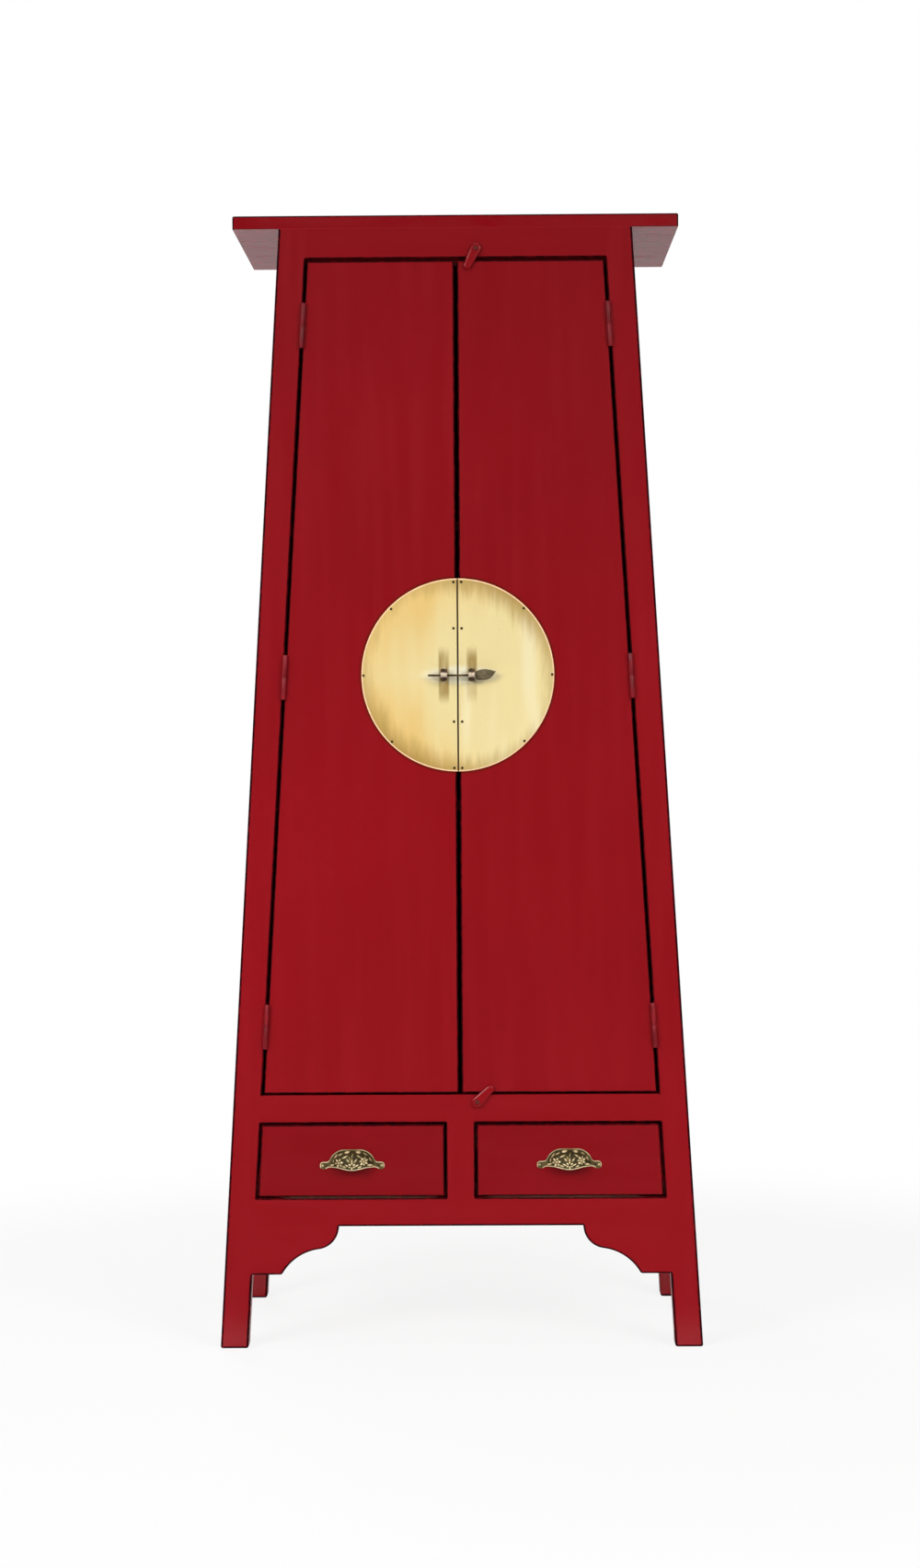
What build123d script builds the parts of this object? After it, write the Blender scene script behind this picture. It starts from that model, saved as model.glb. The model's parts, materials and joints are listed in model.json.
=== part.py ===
from build123d import *
import math
import os

# Tapered two-door cabinet on four leaning legs, in millimetres, +Z up.
# The origin is on the floor under the middle of everything the cabinet occupies.

# ---------------------------------------------------------------- carcass
overall_height = 1900.0     # floor to the top of the top board
overall_depth = 450.0       # front face to back face
foot_width = 814.0          # across the outer faces of the legs at the floor
neck_width = 590.0          # across the outer faces of the legs under the top board
top_length = 744.0
top_thickness = 22.0
leg_face = 47.0             # width of a leg seen from the front
leg_depth = 36.0
rail_depth = 30.0           # front to back thickness of the front and back rails
divider_face = 48.0
edge_chamfer = 1.8          # broken edge round loose boards

# Heights of the openings in the front frame.
top_rail_height = 49.5
door_opening_foot = 428.0   # top of the middle rail
middle_rail_height = 47.0
drawer_opening_height = 127.5
lower_rail_height = 47.5

# Ogee brackets under the lower rail.
bracket_foot = 124.5        # height of the brackets' flat foot
bracket_span = 412.0        # clear width between the two brackets at the rail
bracket_thickness = 24.0
ovolo_radius = 39.0
cove_radius = 84.0
ogee_slope = math.radians(7.5)        # fall of the line where the ovolo runs into the cove

# Joinery.
joint_play = 0.2            # glue line round tenons, tongues and panels
tenon_length = 20.0
tenon_thickness = 10.0
tenon_shoulder = 8.0
side_rail_thickness = 24.0
side_tenon_length = 12.0
side_tenon_shoulder = 14.0
leg_stub_height = 10.0      # stub tenon of each leg in the top board
leg_stub_margin = 9.0
side_panel_inset = 6.0      # how far the side panel sits behind the legs' outer face
side_panel_thickness = 9.0
panel_tongue = 8.0          # depth of a panel's edge in its groove
back_thickness = 6.0
back_rebate = 12.0          # width of the back panel's seat on the rear legs

# Cupboard inside.
board_thickness = 18.0      # floor and shelves
shelf_heights = (905.0, 1375.0)
shelf_setback = 46.0        # front edge of a shelf behind the front face
cleat_height = 22.0
cleat_width = 20.0
fitting_play = 0.6          # loose boards and the pieces beside them
door_stop_height = 12.0

# ---------------------------------------------------------------- doors
door_thickness = 20.0
side_gap = 3.8              # beside a door, filled by the hinge leaves
seam_gap = 5.5              # between the two doors
door_top_gap = 4.6
door_foot_gap = 3.0
batten_thickness = 14.0
batten_height = 60.0
batten_end_distance = 170.0
batten_side_margin = 34.0
stop_play = 0.5             # between a shut door and its stop

# Butt hinges in the leaning gaps.
hinge_top_distance = 107.0  # middle of the top hinge below the door's top edge
hinge_foot_distance = 113.0 # middle of the foot hinge above the door's lower edge
hinge_length = 75.0
knuckle_count = 2
knuckle_play = 0.4
barrel_radius = 4.0
barrel_play = 0.4           # between a barrel and what turns past it
leaf_play = 0.2             # between the two shut leaves
leaf_reach = 16.0           # depth of the leaves behind the front face
hinge_pin_radius = 1.5
pin_play = 0.06

# Round face plate in two halves, with its eyes and latch pin.
plate_radius = 161.5
plate_thickness = 1.2
plate_gap = 1.5
plate_height = 1133.0
eye_spacing = 46.6
eye_radius = 11.0
eye_width = 11.0
eye_hole_radius = 2.5
eye_stem_radius = 5.0
eye_stem_length = 1.6
eye_shank_radius = 3.0
eye_nut_radius = 6.5
eye_nut_thickness = 4.0
eye_nut_play = 0.1
shank_end_length = 1.5      # shank showing past its nut
latch_rod_radius = 1.75
latch_rod_tail = 50.0       # rod left of the seam
blade_start = 30.2          # where the blade begins, right of the seam
blade_length = 34.0
blade_thickness = 2.4
blade_top = 7.4
blade_crown = 10.2
blade_belly = 7.6

# Turn-buttons that hold the right-hand door shut.
button_head_radius = 9.0
button_tip_radius = 6.5
button_centres = 31.0
button_thickness = 7.0
button_standoff = 0.8
button_bore_radius = 2.1
button_screw_radius = 2.0
button_screw_length = 22.0
button_screw_head_radius = 4.2
button_screw_head_height = 1.6
top_button_pivot = (34.0, 14.5)       # right of the seam, above the top rail's lower edge
top_button_turn = -116.6              # direction of the tip, counter-clockwise from +X
foot_button_pivot = (28.5, -12.0)     # right of the seam, below the middle rail's top edge
foot_button_turn = 45.0

# ---------------------------------------------------------------- drawers
drawer_front_thickness = 20.0
drawer_gap = 3.2
drawer_board = 12.0
drawer_depth = 396.0        # front face to the back of the drawer
drawer_side_headroom = 9.0  # sides below the top of the opening
drawer_slide_play = 0.4     # under and beside a drawer
drawer_leg_clearance = 3.0
drawer_bottom_thickness = 6.0
drawer_bottom_height = 8.0  # underside of the bottom above the sides' lower edge
drawer_groove_depth = 5.0
runner_thickness = 18.0
runner_guide_height = 20.0
runner_side_width = 44.0
runner_centre_width = 92.0

# Hollow cup pulls.
pull_half_width = 54.2
pull_arch_radius = 27.0     # shoulders of the arch seen from the front
pull_shoulder = 12.5        # from the pull's middle to the centre of a shoulder
pull_arch_height = 33.2     # top of the arch above the ears' lower edge
pull_projection = 24.0      # middle of the lip before the drawer front
pull_ball_radius = 42.8     # fall of the dome from its middle to its sides
pull_wall = 2.4
pull_flange_width = 2.8     # flat rim round the foot of the dome
pull_flange_thickness = 2.2
pull_ear_height = 12.6
pull_ear_rounding = 4.5
pull_ear_fillet = 6.0       # between an ear and the arch
pull_lip_middle = 0.5       # middle of the lip above the ears' lower edge
pull_lip_crest = 4.2        # lip above the ears' lower edge, either side of its middle
pull_lip_wave = 14.0        # from the lip's middle to where it turns, and from there to its crest
pull_rise = -14.0           # ears' lower edge above the middle of the drawer front

# ---------------------------------------------------------------- worked out from the above
body_height = overall_height - top_thickness
lean = (foot_width - neck_width) / 2 / body_height
lean_angle = math.atan(lean)
door_opening_top = body_height - top_rail_height
drawer_opening_top = door_opening_foot - middle_rail_height
drawer_opening_foot = drawer_opening_top - drawer_opening_height
lower_rail_foot = drawer_opening_foot - lower_rail_height
door_top = door_opening_top - door_top_gap
door_foot = door_opening_foot + door_foot_gap
door_inset = leg_face + side_gap
hinge_top = door_top - hinge_top_distance
hinge_foot = door_foot + hinge_foot_distance
hinge_heights = (hinge_foot, (hinge_foot + hinge_top) / 2, hinge_top)
eye_centre = -(plate_thickness + eye_stem_length + eye_radius)
front_reach = max(eye_radius - eye_centre, pull_projection)
front_y = -(overall_depth - front_reach) / 2
axle_depth = -(barrel_radius + barrel_play)
back_face = overall_depth - back_thickness
rear_leg_front = overall_depth - leg_depth
panel_inner_inset = side_panel_inset + side_panel_thickness


def outer(z):
    """Half the cabinet's width at height z."""
    return foot_width / 2 - lean * z


def at(depth):
    """World Y of a depth behind the front face."""
    return front_y + depth


def prism(outline, near, far):
    """A solid with the given (x, z) outline between two depths."""
    points = [(x, at(near), z) for x, z in outline]
    face = make_face(Polyline(*points, close=True))
    return extrude(face, amount=far - near, dir=(0, 1, 0))


def block(x0, x1, z0, z1, near, far):
    return prism([(x0, z0), (x1, z0), (x1, z1), (x0, z1)], near, far)


def across(inset, z0, z1, near, far):
    """A board from one leaning side to the other, inset from both outer faces."""
    low = outer(z0) - inset
    high = outer(z1) - inset
    return prism([(-low, z0), (low, z0), (high, z1), (-high, z1)], near, far)


def strip(inset0, inset1, z0, z1, near, far):
    """A leaning strip on the right, between two distances from the outer face."""
    low = outer(z0)
    high = outer(z1)
    corners = [(low - inset1, z0), (low - inset0, z0), (high - inset0, z1), (high - inset1, z1)]
    return prism(corners, near, far)


def leaning_end(x_inner, inset, z0, z1, near, far):
    """A board on the right with an upright inner end and a leaning outer end."""
    corners = [(x_inner, z0), (outer(z0) - inset, z0), (outer(z1) - inset, z1), (x_inner, z1)]
    return prism(corners, near, far)


def left(shape):
    """The left-hand twin of a right-hand piece."""
    return mirror(shape, about=Plane.YZ)


def round_bar(x, z, radius, near, far):
    """A round bar that runs front to back."""
    middle = (x, at((near + far) / 2), z)
    return Location(middle) * Rotation(90, 0, 0) * Cylinder(radius, far - near)


def ease_front(board):
    """Break the edges round a board's front face."""
    front_edges = board.faces().sort_by(Axis.Y)[0].edges()
    return chamfer(front_edges, edge_chamfer)


# ---------------------------------------------------------------- front and back rails

def tenoned_rail(z0, z1, near, far):
    middle = (near + far) / 2
    rail = across(leg_face, z0, z1, near, far)
    tenons = across(leg_face - tenon_length, z0 + tenon_shoulder, z1 - tenon_shoulder,
                    middle - tenon_thickness / 2, middle + tenon_thickness / 2)
    return rail + tenons


def rail_mortise(z0, z1, near, far):
    """The cut in a right-hand leg for one end of a tenoned rail."""
    middle = (near + far) / 2
    reach = tenon_thickness / 2 + joint_play
    return strip(leg_face - tenon_length - joint_play, leg_face + 1,
                 z0 + tenon_shoulder - joint_play, z1 - tenon_shoulder + joint_play,
                 middle - reach, middle + reach)


def divider_tenons(play):
    """The two stub tenons of the drawer divider, or with play the cuts for them."""
    half_width = divider_face / 2 - tenon_shoulder + play
    middle = rail_depth / 2
    reach = tenon_thickness / 2 + play
    length = tenon_length + play
    return block(-half_width, half_width, drawer_opening_foot - length, drawer_opening_top + length,
                 middle - reach, middle + reach)


front_rail_levels = {
    "top_rail": (door_opening_top, body_height),
    "middle_rail": (drawer_opening_top, door_opening_foot),
    "lower_rail": (lower_rail_foot, drawer_opening_foot),
}
back_rail_levels = {
    "back_top_rail": (door_opening_top, body_height),
    "back_middle_rail": (drawer_opening_top, door_opening_foot - board_thickness),
    "back_lower_rail": (lower_rail_foot, drawer_opening_foot),
}
side_rail_levels = {
    "side_top_rail": (door_opening_top, body_height),
    "side_lower_rail": (lower_rail_foot, drawer_opening_foot),
}


# ---------------------------------------------------------------- legs

def leg_stub(play, near):
    """Stub tenon on top of a leg, or with play the cut for it in the top board."""
    return strip(leg_stub_margin - play, leg_face - leg_stub_margin + play,
                 body_height - play, body_height + leg_stub_height + play,
                 near + leg_stub_margin - play, near + leg_depth - leg_stub_margin + play)


def side_rail_tenons(z0, z1, play):
    """Both tenons of a side rail, or with play the cuts for them in the legs."""
    return strip(side_panel_inset - play, panel_inner_inset + play,
                 z0 + side_tenon_shoulder - play, z1 - side_tenon_shoulder + play,
                 leg_depth - side_tenon_length - play,
                 rear_leg_front + side_tenon_length + play)


def side_panel_board(play):
    """The side panel with its tongues, or with play the grooves that hold it."""
    return strip(side_panel_inset - play, panel_inner_inset + play,
                 drawer_opening_foot - panel_tongue - play, door_opening_top + panel_tongue + play,
                 leg_depth - panel_tongue - play, rear_leg_front + panel_tongue + play)


def leg(near, rail_levels, rail_near, rail_far):
    """A right-hand leg with the cuts for its rails and side panel."""
    piece = strip(0, leg_face, 0, body_height, near, near + leg_depth)
    for z0, z1 in rail_levels.values():
        piece = piece - rail_mortise(z0, z1, rail_near, rail_far)
    for z0, z1 in side_rail_levels.values():
        piece = piece - side_rail_tenons(z0, z1, joint_play)
    piece = piece - side_panel_board(joint_play)
    return piece + leg_stub(0, near)


def front_leg():
    return leg(0, front_rail_levels, 0, rail_depth)


def rear_leg():
    piece = leg(rear_leg_front, back_rail_levels, back_face - rail_depth, back_face)
    rebate = strip(leg_face - back_rebate - joint_play, leg_face + 1,
                   lower_rail_foot - joint_play, body_height + 1,
                   back_face - joint_play, overall_depth + 1)
    return piece - rebate


# ---------------------------------------------------------------- carcass boards

def top_board():
    half = top_length / 2
    board = block(-half, half, body_height, overall_height, 0, overall_depth)
    underside_edges = board.faces().sort_by(Axis.Z)[0].edges()
    board = chamfer(board.edges() - underside_edges, edge_chamfer)
    for near in (0, rear_leg_front):
        stub = leg_stub(joint_play, near)
        board = board - stub - left(stub)
    return board


def top_rail():
    return tenoned_rail(*front_rail_levels["top_rail"], 0, rail_depth)


def middle_rail():
    return tenoned_rail(*front_rail_levels["middle_rail"], 0, rail_depth) - divider_tenons(joint_play)


def lower_rail():
    return tenoned_rail(*front_rail_levels["lower_rail"], 0, rail_depth) - divider_tenons(joint_play)


def drawer_divider():
    half = divider_face / 2
    upright = block(-half, half, drawer_opening_foot, drawer_opening_top, 0, rail_depth)
    return upright + divider_tenons(0)


def back_rail(name):
    return tenoned_rail(*back_rail_levels[name], back_face - rail_depth, back_face)


def side_rail(name):
    z0, z1 = side_rail_levels[name]
    rail = strip(0, side_rail_thickness, z0, z1, leg_depth, rear_leg_front)
    return rail + side_rail_tenons(z0, z1, 0) - side_panel_board(joint_play)


def back_panel():
    return across(leg_face - back_rebate, lower_rail_foot, body_height, back_face, overall_depth)


def apron_bracket():
    """Ogee bracket: an ovolo under the rail that runs into a cove above the foot."""
    top = lower_rail_foot
    inner = bracket_span / 2
    ovolo_centre = (inner + ovolo_radius, top)
    join_angle = math.pi / 2 - ogee_slope

    def on_ovolo(angle):
        return (ovolo_centre[0] - ovolo_radius * math.cos(angle),
                ovolo_centre[1] - ovolo_radius * math.sin(angle))

    join = on_ovolo(join_angle)
    cove_centre = (join[0] - cove_radius * math.cos(join_angle),
                   join[1] - cove_radius * math.sin(join_angle))
    tip_angle = math.asin((bracket_foot - cove_centre[1]) / cove_radius)

    def on_cove(angle):
        return (cove_centre[0] + cove_radius * math.cos(angle),
                cove_centre[1] + cove_radius * math.sin(angle))

    tip = on_cove(tip_angle)
    cove_middle = on_cove((tip_angle + join_angle) / 2)
    ovolo_middle = on_ovolo(join_angle / 2)

    def spot(point):
        return (point[0], at(0), point[1])

    leg_foot = (outer(bracket_foot) - leg_face, bracket_foot)
    leg_top = (outer(top) - leg_face, top)
    outline = [
        Line(spot(leg_foot), spot(tip)),
        ThreePointArc(spot(tip), spot(cove_middle), spot(join)),
        ThreePointArc(spot(join), spot(ovolo_middle), spot((inner, top))),
        Line(spot((inner, top)), spot(leg_top)),
        Line(spot(leg_top), spot(leg_foot)),
    ]
    return extrude(make_face(Wire(outline)), amount=bracket_thickness, dir=(0, 1, 0))


def notched_board(z, near):
    """A floor or shelf between the side panels, notched round the legs it passes."""
    between_legs = across(leg_face + fitting_play, z, z + board_thickness, near, back_face)
    wide_near = max(near, leg_depth + fitting_play)
    wide = across(panel_inner_inset + fitting_play, z, z + board_thickness,
                  wide_near, rear_leg_front - fitting_play)
    return between_legs + wide


def cupboard_floor():
    return notched_board(door_opening_foot - board_thickness, rail_depth)


def shelf(number):
    return notched_board(shelf_heights[number], shelf_setback)


def shelf_cleats():
    """Four strips on the side panels, one pair under each shelf."""
    cleats = []
    for height in shelf_heights:
        cleat = strip(panel_inner_inset, panel_inner_inset + cleat_width,
                      height - cleat_height, height, leg_depth, rear_leg_front)
        cleats += [cleat, left(cleat)]
    return Compound(children=cleats)


def floor_bearer():
    """Carries the cupboard floor and keeps a drawer from tipping."""
    foot = drawer_opening_top
    return leaning_end(outer(foot) - leg_face - runner_side_width, leg_face + fitting_play,
                       foot, door_opening_foot - board_thickness, rail_depth, back_face - rail_depth)


def drawer_box_side():
    """Outer face of the drawer box, clear of the leg at the top of the drawer's side."""
    return outer(drawer_opening_top - drawer_side_headroom) - leg_face - drawer_leg_clearance


def side_runner():
    """L-shaped runner: the ledge carries the drawer and the guide keeps it straight."""
    top = drawer_opening_foot
    foot = top - runner_thickness
    guide = top + runner_guide_height
    guide_x = drawer_box_side() + drawer_slide_play
    inset = leg_face + fitting_play
    corners = [
        (outer(foot) - leg_face - runner_side_width, foot),
        (outer(foot) - inset, foot),
        (outer(guide) - inset, guide),
        (guide_x, guide),
        (guide_x, top),
        (outer(foot) - leg_face - runner_side_width, top),
    ]
    return prism(corners, rail_depth, back_face - rail_depth)


def centre_runner():
    """T-shaped runner between the two drawers."""
    top = drawer_opening_foot
    foot = top - runner_thickness
    guide = top + runner_guide_height
    half = runner_centre_width / 2
    guide_half = divider_face / 2 + drawer_gap - drawer_slide_play
    ledge = block(-half, half, foot, top, rail_depth, back_face - rail_depth)
    return ledge + block(-guide_half, guide_half, top, guide, rail_depth, back_face - rail_depth)


def door_stop():
    return across(leg_face + fitting_play, door_opening_top - door_stop_height, door_opening_top,
                  door_thickness + stop_play, rail_depth)


# ---------------------------------------------------------------- hinges

def hinge_frame(height):
    """Plane on the left-hand hinge axis: X towards the door, Y backwards, Z up the gap."""
    x = -(outer(height) - leg_face - side_gap / 2)
    across_gap = (math.cos(lean_angle), 0, -math.sin(lean_angle))
    along_gap = (math.sin(lean_angle), 0, math.cos(lean_angle))
    return Plane(origin=(x, at(axle_depth), height), x_dir=across_gap, z_dir=along_gap)


def hinge_leaf(towards_door):
    """A leaf with its share of the knuckles, shut, about its own axis."""
    pitch = hinge_length / knuckle_count
    first = 1 if towards_door else 0
    half_gap = side_gap * math.cos(lean_angle) / 2
    thickness = half_gap - leaf_play / 2
    reach = leaf_reach - axle_depth
    relief = barrel_radius + barrel_play
    middle_x = (half_gap + leaf_play / 2) / 2
    if not towards_door:
        middle_x = -middle_x
    leaf = Pos(middle_x, reach / 2, 0) * Box(thickness, reach, hinge_length)
    leaf = leaf - Cylinder(relief, hinge_length + 2)
    for index in range(first, knuckle_count, 2):
        z = (index + 0.5) * pitch - hinge_length / 2
        length = pitch - knuckle_play
        root = Pos(middle_x, relief / 2 + 0.5, z) * Box(thickness, relief + 1, length)
        leaf = leaf + root + Pos(0, 0, z) * Cylinder(barrel_radius, length)
    return leaf - Cylinder(hinge_pin_radius + pin_play, hinge_length + 2)


def at_hinges(piece):
    """Three copies of a piece, one on each left-hand hinge."""
    return [hinge_frame(height) * piece for height in hinge_heights]


def both_sides(pieces):
    return pieces + [left(piece) for piece in pieces]


# ---------------------------------------------------------------- doors and latch

def door_panel():
    board = leaning_end(seam_gap / 2, door_inset, door_foot, door_top, 0, door_thickness)
    board = ease_front(board)
    return board - round_bar(eye_spacing / 2, plate_height, eye_shank_radius + pin_play,
                             -1, door_thickness + 1)


def door_battens():
    battens = []
    for z0 in (door_foot + batten_end_distance, door_top - batten_end_distance - batten_height):
        battens.append(leaning_end(batten_side_margin, door_inset + batten_side_margin,
                                   z0, z0 + batten_height,
                                   door_thickness, door_thickness + batten_thickness))
    return Compound(children=battens)


def face_plate():
    """Half of the round plate, cut straight along the seam."""
    x = plate_gap / 2
    foot = (x, at(-plate_thickness), plate_height - plate_radius)
    side = (x + plate_radius, at(-plate_thickness), plate_height)
    head = (x, at(-plate_thickness), plate_height + plate_radius)
    outline = [Line(head, foot), ThreePointArc(foot, side, head)]
    half = extrude(make_face(Wire(outline)), amount=plate_thickness, dir=(0, 1, 0))
    return half - round_bar(eye_spacing / 2, plate_height, eye_shank_radius + pin_play,
                            -plate_thickness - 1, 1)


def latch_eye():
    """Ring, stem and threaded shank of the right-hand eye."""
    x = eye_spacing / 2
    middle = Location((x, at(eye_centre), plate_height)) * Rotation(0, 90, 0)
    ring = middle * Cylinder(eye_radius, eye_width)
    eye = ring + round_bar(x, plate_height, eye_stem_radius, eye_centre, -plate_thickness)
    eye = eye + round_bar(x, plate_height, eye_shank_radius, -plate_thickness,
                          door_thickness + eye_nut_thickness + shank_end_length)
    return eye - middle * Cylinder(eye_hole_radius, eye_width + 2)


def latch_eye_nut():
    x = eye_spacing / 2
    nut = extrude(RegularPolygon(eye_nut_radius, 6), eye_nut_thickness)
    nut = Location((x, at(door_thickness), plate_height)) * Rotation(-90, 0, 0) * nut
    return nut - round_bar(x, plate_height, eye_shank_radius + eye_nut_play,
                           door_thickness - 1, door_thickness + eye_nut_thickness + 1)


def latch_pin():
    """Rod that ends in a flat leaf-shaped blade to hold it by."""
    drop = eye_hole_radius - latch_rod_radius - pin_play
    z = plate_height - drop
    y = at(eye_centre)
    rod_length = latch_rod_tail + blade_start + blade_length / 4
    rod = Rotation(0, 90, 0) * Cylinder(latch_rod_radius, rod_length)
    rod = Location((rod_length / 2 - latch_rod_tail, y, z)) * rod

    def spot(along, up):
        return (blade_start + along, y - blade_thickness / 2, z + up)

    tip = spot(blade_length, blade_top)
    flat = blade_length * 0.45
    outline = [
        ThreePointArc(spot(0, blade_top), spot(blade_length * 0.45, blade_crown), tip),
        ThreePointArc(tip, spot(blade_length * 0.8, -blade_belly * 0.35), spot(flat, -blade_belly)),
        Line(spot(flat, -blade_belly), spot(0, -blade_belly)),
        Line(spot(0, -blade_belly), spot(0, blade_top)),
    ]
    blade = extrude(make_face(Wire(outline)), amount=blade_thickness, dir=(0, 1, 0))
    return rod + blade


# ---------------------------------------------------------------- turn-buttons

def button_spots():
    """Pivot and tip direction of the top and the foot turn-button."""
    top = (top_button_pivot[0], door_opening_top + top_button_pivot[1])
    foot = (foot_button_pivot[0], door_opening_foot + foot_button_pivot[1])
    return [(top, top_button_turn), (foot, foot_button_turn)]


def turn_button(number):
    """Tear-shaped button: a broad head on the screw and a narrower tip."""
    (x, z), turn = button_spots()[number]
    slope = math.asin((button_head_radius - button_tip_radius) / button_centres)
    head = (button_head_radius * math.sin(slope), button_head_radius * math.cos(slope))
    tip = (button_centres + button_tip_radius * math.sin(slope), button_tip_radius * math.cos(slope))
    outline = [
        ThreePointArc((head[0], -head[1]), (-button_head_radius, 0), head),
        Line(head, tip),
        ThreePointArc(tip, (button_centres + button_tip_radius, 0), (tip[0], -tip[1])),
        Line((tip[0], -tip[1]), (head[0], -head[1])),
    ]
    body = extrude(make_face(Wire(outline)), amount=button_thickness)
    body = body - Cylinder(button_bore_radius, 3 * button_thickness)
    seat = Location((x, at(-button_standoff), z)) * Rotation(90, 0, 0) * Rotation(0, 0, turn)
    return seat * body


def turn_button_screws():
    screws = []
    head_back = -(button_standoff + button_thickness + pin_play)
    for (x, z), _ in button_spots():
        shank = round_bar(x, z, button_screw_radius, head_back, button_screw_length)
        head = round_bar(x, z, button_screw_head_radius, head_back - button_screw_head_height, head_back)
        screws.append(shank + head)
    return Compound(children=screws)


def screw_hole(number):
    (x, z), _ = button_spots()[number]
    return round_bar(x, z, button_screw_radius + pin_play, -1, button_screw_length + joint_play)


# ---------------------------------------------------------------- drawers

def drawer_inner_edge():
    return divider_face / 2 + drawer_gap


def drawer_front():
    board = leaning_end(drawer_inner_edge(), leg_face + drawer_gap,
                        drawer_opening_foot + drawer_gap, drawer_opening_top - drawer_gap,
                        0, drawer_front_thickness)
    return ease_front(board)


def drawer_levels():
    """Lower and upper edge of the drawer's sides."""
    return drawer_opening_foot + drawer_slide_play, drawer_opening_top - drawer_side_headroom


def drawer_bottom(play):
    """The bottom board, or with play the groove round it."""
    foot, _ = drawer_levels()
    inner = drawer_inner_edge() + drawer_board - drawer_groove_depth
    outer_x = drawer_box_side() - drawer_board + drawer_groove_depth
    z0 = foot + drawer_bottom_height
    return block(inner - play, outer_x + play, z0 - play, z0 + drawer_bottom_thickness + play,
                 drawer_front_thickness, drawer_depth)


def drawer_sides():
    z0, z1 = drawer_levels()
    near, far = drawer_front_thickness, drawer_depth
    inner = drawer_inner_edge()
    outer_x = drawer_box_side()
    sides = [block(inner, inner + drawer_board, z0, z1, near, far),
             block(outer_x - drawer_board, outer_x, z0, z1, near, far)]
    groove = drawer_bottom(joint_play)
    return Compound(children=[side - groove for side in sides])


def drawer_back():
    """Stands on the bottom board between the sides."""
    z0, z1 = drawer_levels()
    seat = z0 + drawer_bottom_height + drawer_bottom_thickness
    return block(drawer_inner_edge() + drawer_board, drawer_box_side() - drawer_board,
                 seat, z1 - drawer_side_headroom, drawer_depth - drawer_board, drawer_depth)


def cup_pull_spot():
    """Middle of a right-hand drawer front, and the height of its pull's ears."""
    middle_z = (drawer_opening_foot + drawer_opening_top) / 2
    x = (drawer_inner_edge() + outer(middle_z) - leg_face - drawer_gap) / 2
    return x, middle_z + pull_rise


def cup_pull():
    """Hollow dome under an arched flange, with a waved lip and an ear at each end."""
    x, z = cup_pull_spot()
    arch_z = z + pull_arch_height - pull_arch_radius
    # The dome is what a ball and a level bar share. Both stand pull_projection before the
    # drawer front at the middle of the lip; the bar meets the front inside the arch's flange.
    bar_foot = pull_arch_radius - pull_flange_width
    bar_lip = z + pull_lip_middle - arch_z
    bar_behind = (bar_foot ** 2 - bar_lip ** 2 - pull_projection ** 2) / (2 * pull_projection)
    bar_radius = math.hypot(bar_foot, bar_behind)
    ball_behind = math.sqrt(pull_ball_radius ** 2 - pull_lip_middle ** 2) - pull_projection

    ball = Location((x, at(ball_behind), z)) * Rotation(0, 90, 0) * Sphere(pull_ball_radius)

    def level_bar(radius):
        bar = Rotation(0, 90, 0) * Cylinder(radius, 2 * pull_half_width)
        return Location((x, at(bar_behind), arch_z)) * bar

    # The hollow is a plain cone under the ball, cut by a smaller bar.
    cone_top = math.sqrt(pull_ball_radius ** 2 - pull_arch_height ** 2) - pull_wall
    cone = Cone(pull_ball_radius - pull_wall, cone_top, pull_arch_height)
    hollow = Location((x, at(ball_behind), z + pull_arch_height / 2)) * cone
    hollow = hollow & level_bar(bar_radius - pull_wall)

    def spot(along, up, depth=0.0):
        return (x + along, at(depth), z + up)

    # Arched flange with its ears, as one flat plate.
    arch = block(x - pull_shoulder, x + pull_shoulder, z, z + pull_arch_height,
                 -pull_flange_thickness, 0)
    for shoulder in (x - pull_shoulder, x + pull_shoulder):
        arch = arch + round_bar(shoulder, arch_z, pull_arch_radius, -pull_flange_thickness, 0)
    above = block(x - pull_half_width, x + pull_half_width, z, z + pull_arch_height,
                  -pull_flange_thickness, 0)
    ears = block(x - pull_half_width, x + pull_half_width, z, z + pull_ear_height,
                 -pull_flange_thickness, 0)
    plate = (arch & above) + ears
    upright = plate.edges().filter_by(Axis.Y)
    ends = [edge for edge in upright if abs(abs(edge.center().X - x) - pull_half_width) < 1e-3]
    plate = fillet(ends, pull_ear_rounding)
    roots = [edge for edge in plate.edges().filter_by(Axis.Y)
             if abs(edge.center().Z - z - pull_ear_height) < 1e-3
             and abs(edge.center().X - x) < pull_half_width - pull_ear_rounding - 1e-3]
    plate = fillet(roots, pull_ear_fillet)

    # The dome, cut off below along the lip.
    reach = pull_half_width
    ceiling = pull_arch_height + 1
    turn = (pull_lip_middle + pull_lip_crest) / 2
    front = -pull_projection - pull_wall - 1
    lip_outline = [
        Line(spot(-reach, 0, front), spot(-3 * pull_lip_wave, turn, front)),
        ThreePointArc(spot(-3 * pull_lip_wave, turn, front),
                      spot(-2 * pull_lip_wave, pull_lip_crest, front),
                      spot(-pull_lip_wave, turn, front)),
        ThreePointArc(spot(-pull_lip_wave, turn, front), spot(0, pull_lip_middle, front),
                      spot(pull_lip_wave, turn, front)),
        ThreePointArc(spot(pull_lip_wave, turn, front),
                      spot(2 * pull_lip_wave, pull_lip_crest, front),
                      spot(3 * pull_lip_wave, turn, front)),
        Line(spot(3 * pull_lip_wave, turn, front), spot(reach, 0, front)),
        Line(spot(reach, 0, front), spot(reach, ceiling, front)),
        Line(spot(reach, ceiling, front), spot(-reach, ceiling, front)),
        Line(spot(-reach, ceiling, front), spot(-reach, 0, front)),
    ]
    above_lip = extrude(make_face(Wire(lip_outline)), amount=-front, dir=(0, 1, 0))
    return plate + (ball & level_bar(bar_radius) & above_lip) - hollow


# ---------------------------------------------------------------- assembly

def twins(name, piece):
    """A right-hand piece and its left-hand twin as two nodes."""
    return {name + "_right": piece, name + "_left": left(piece)}


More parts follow.
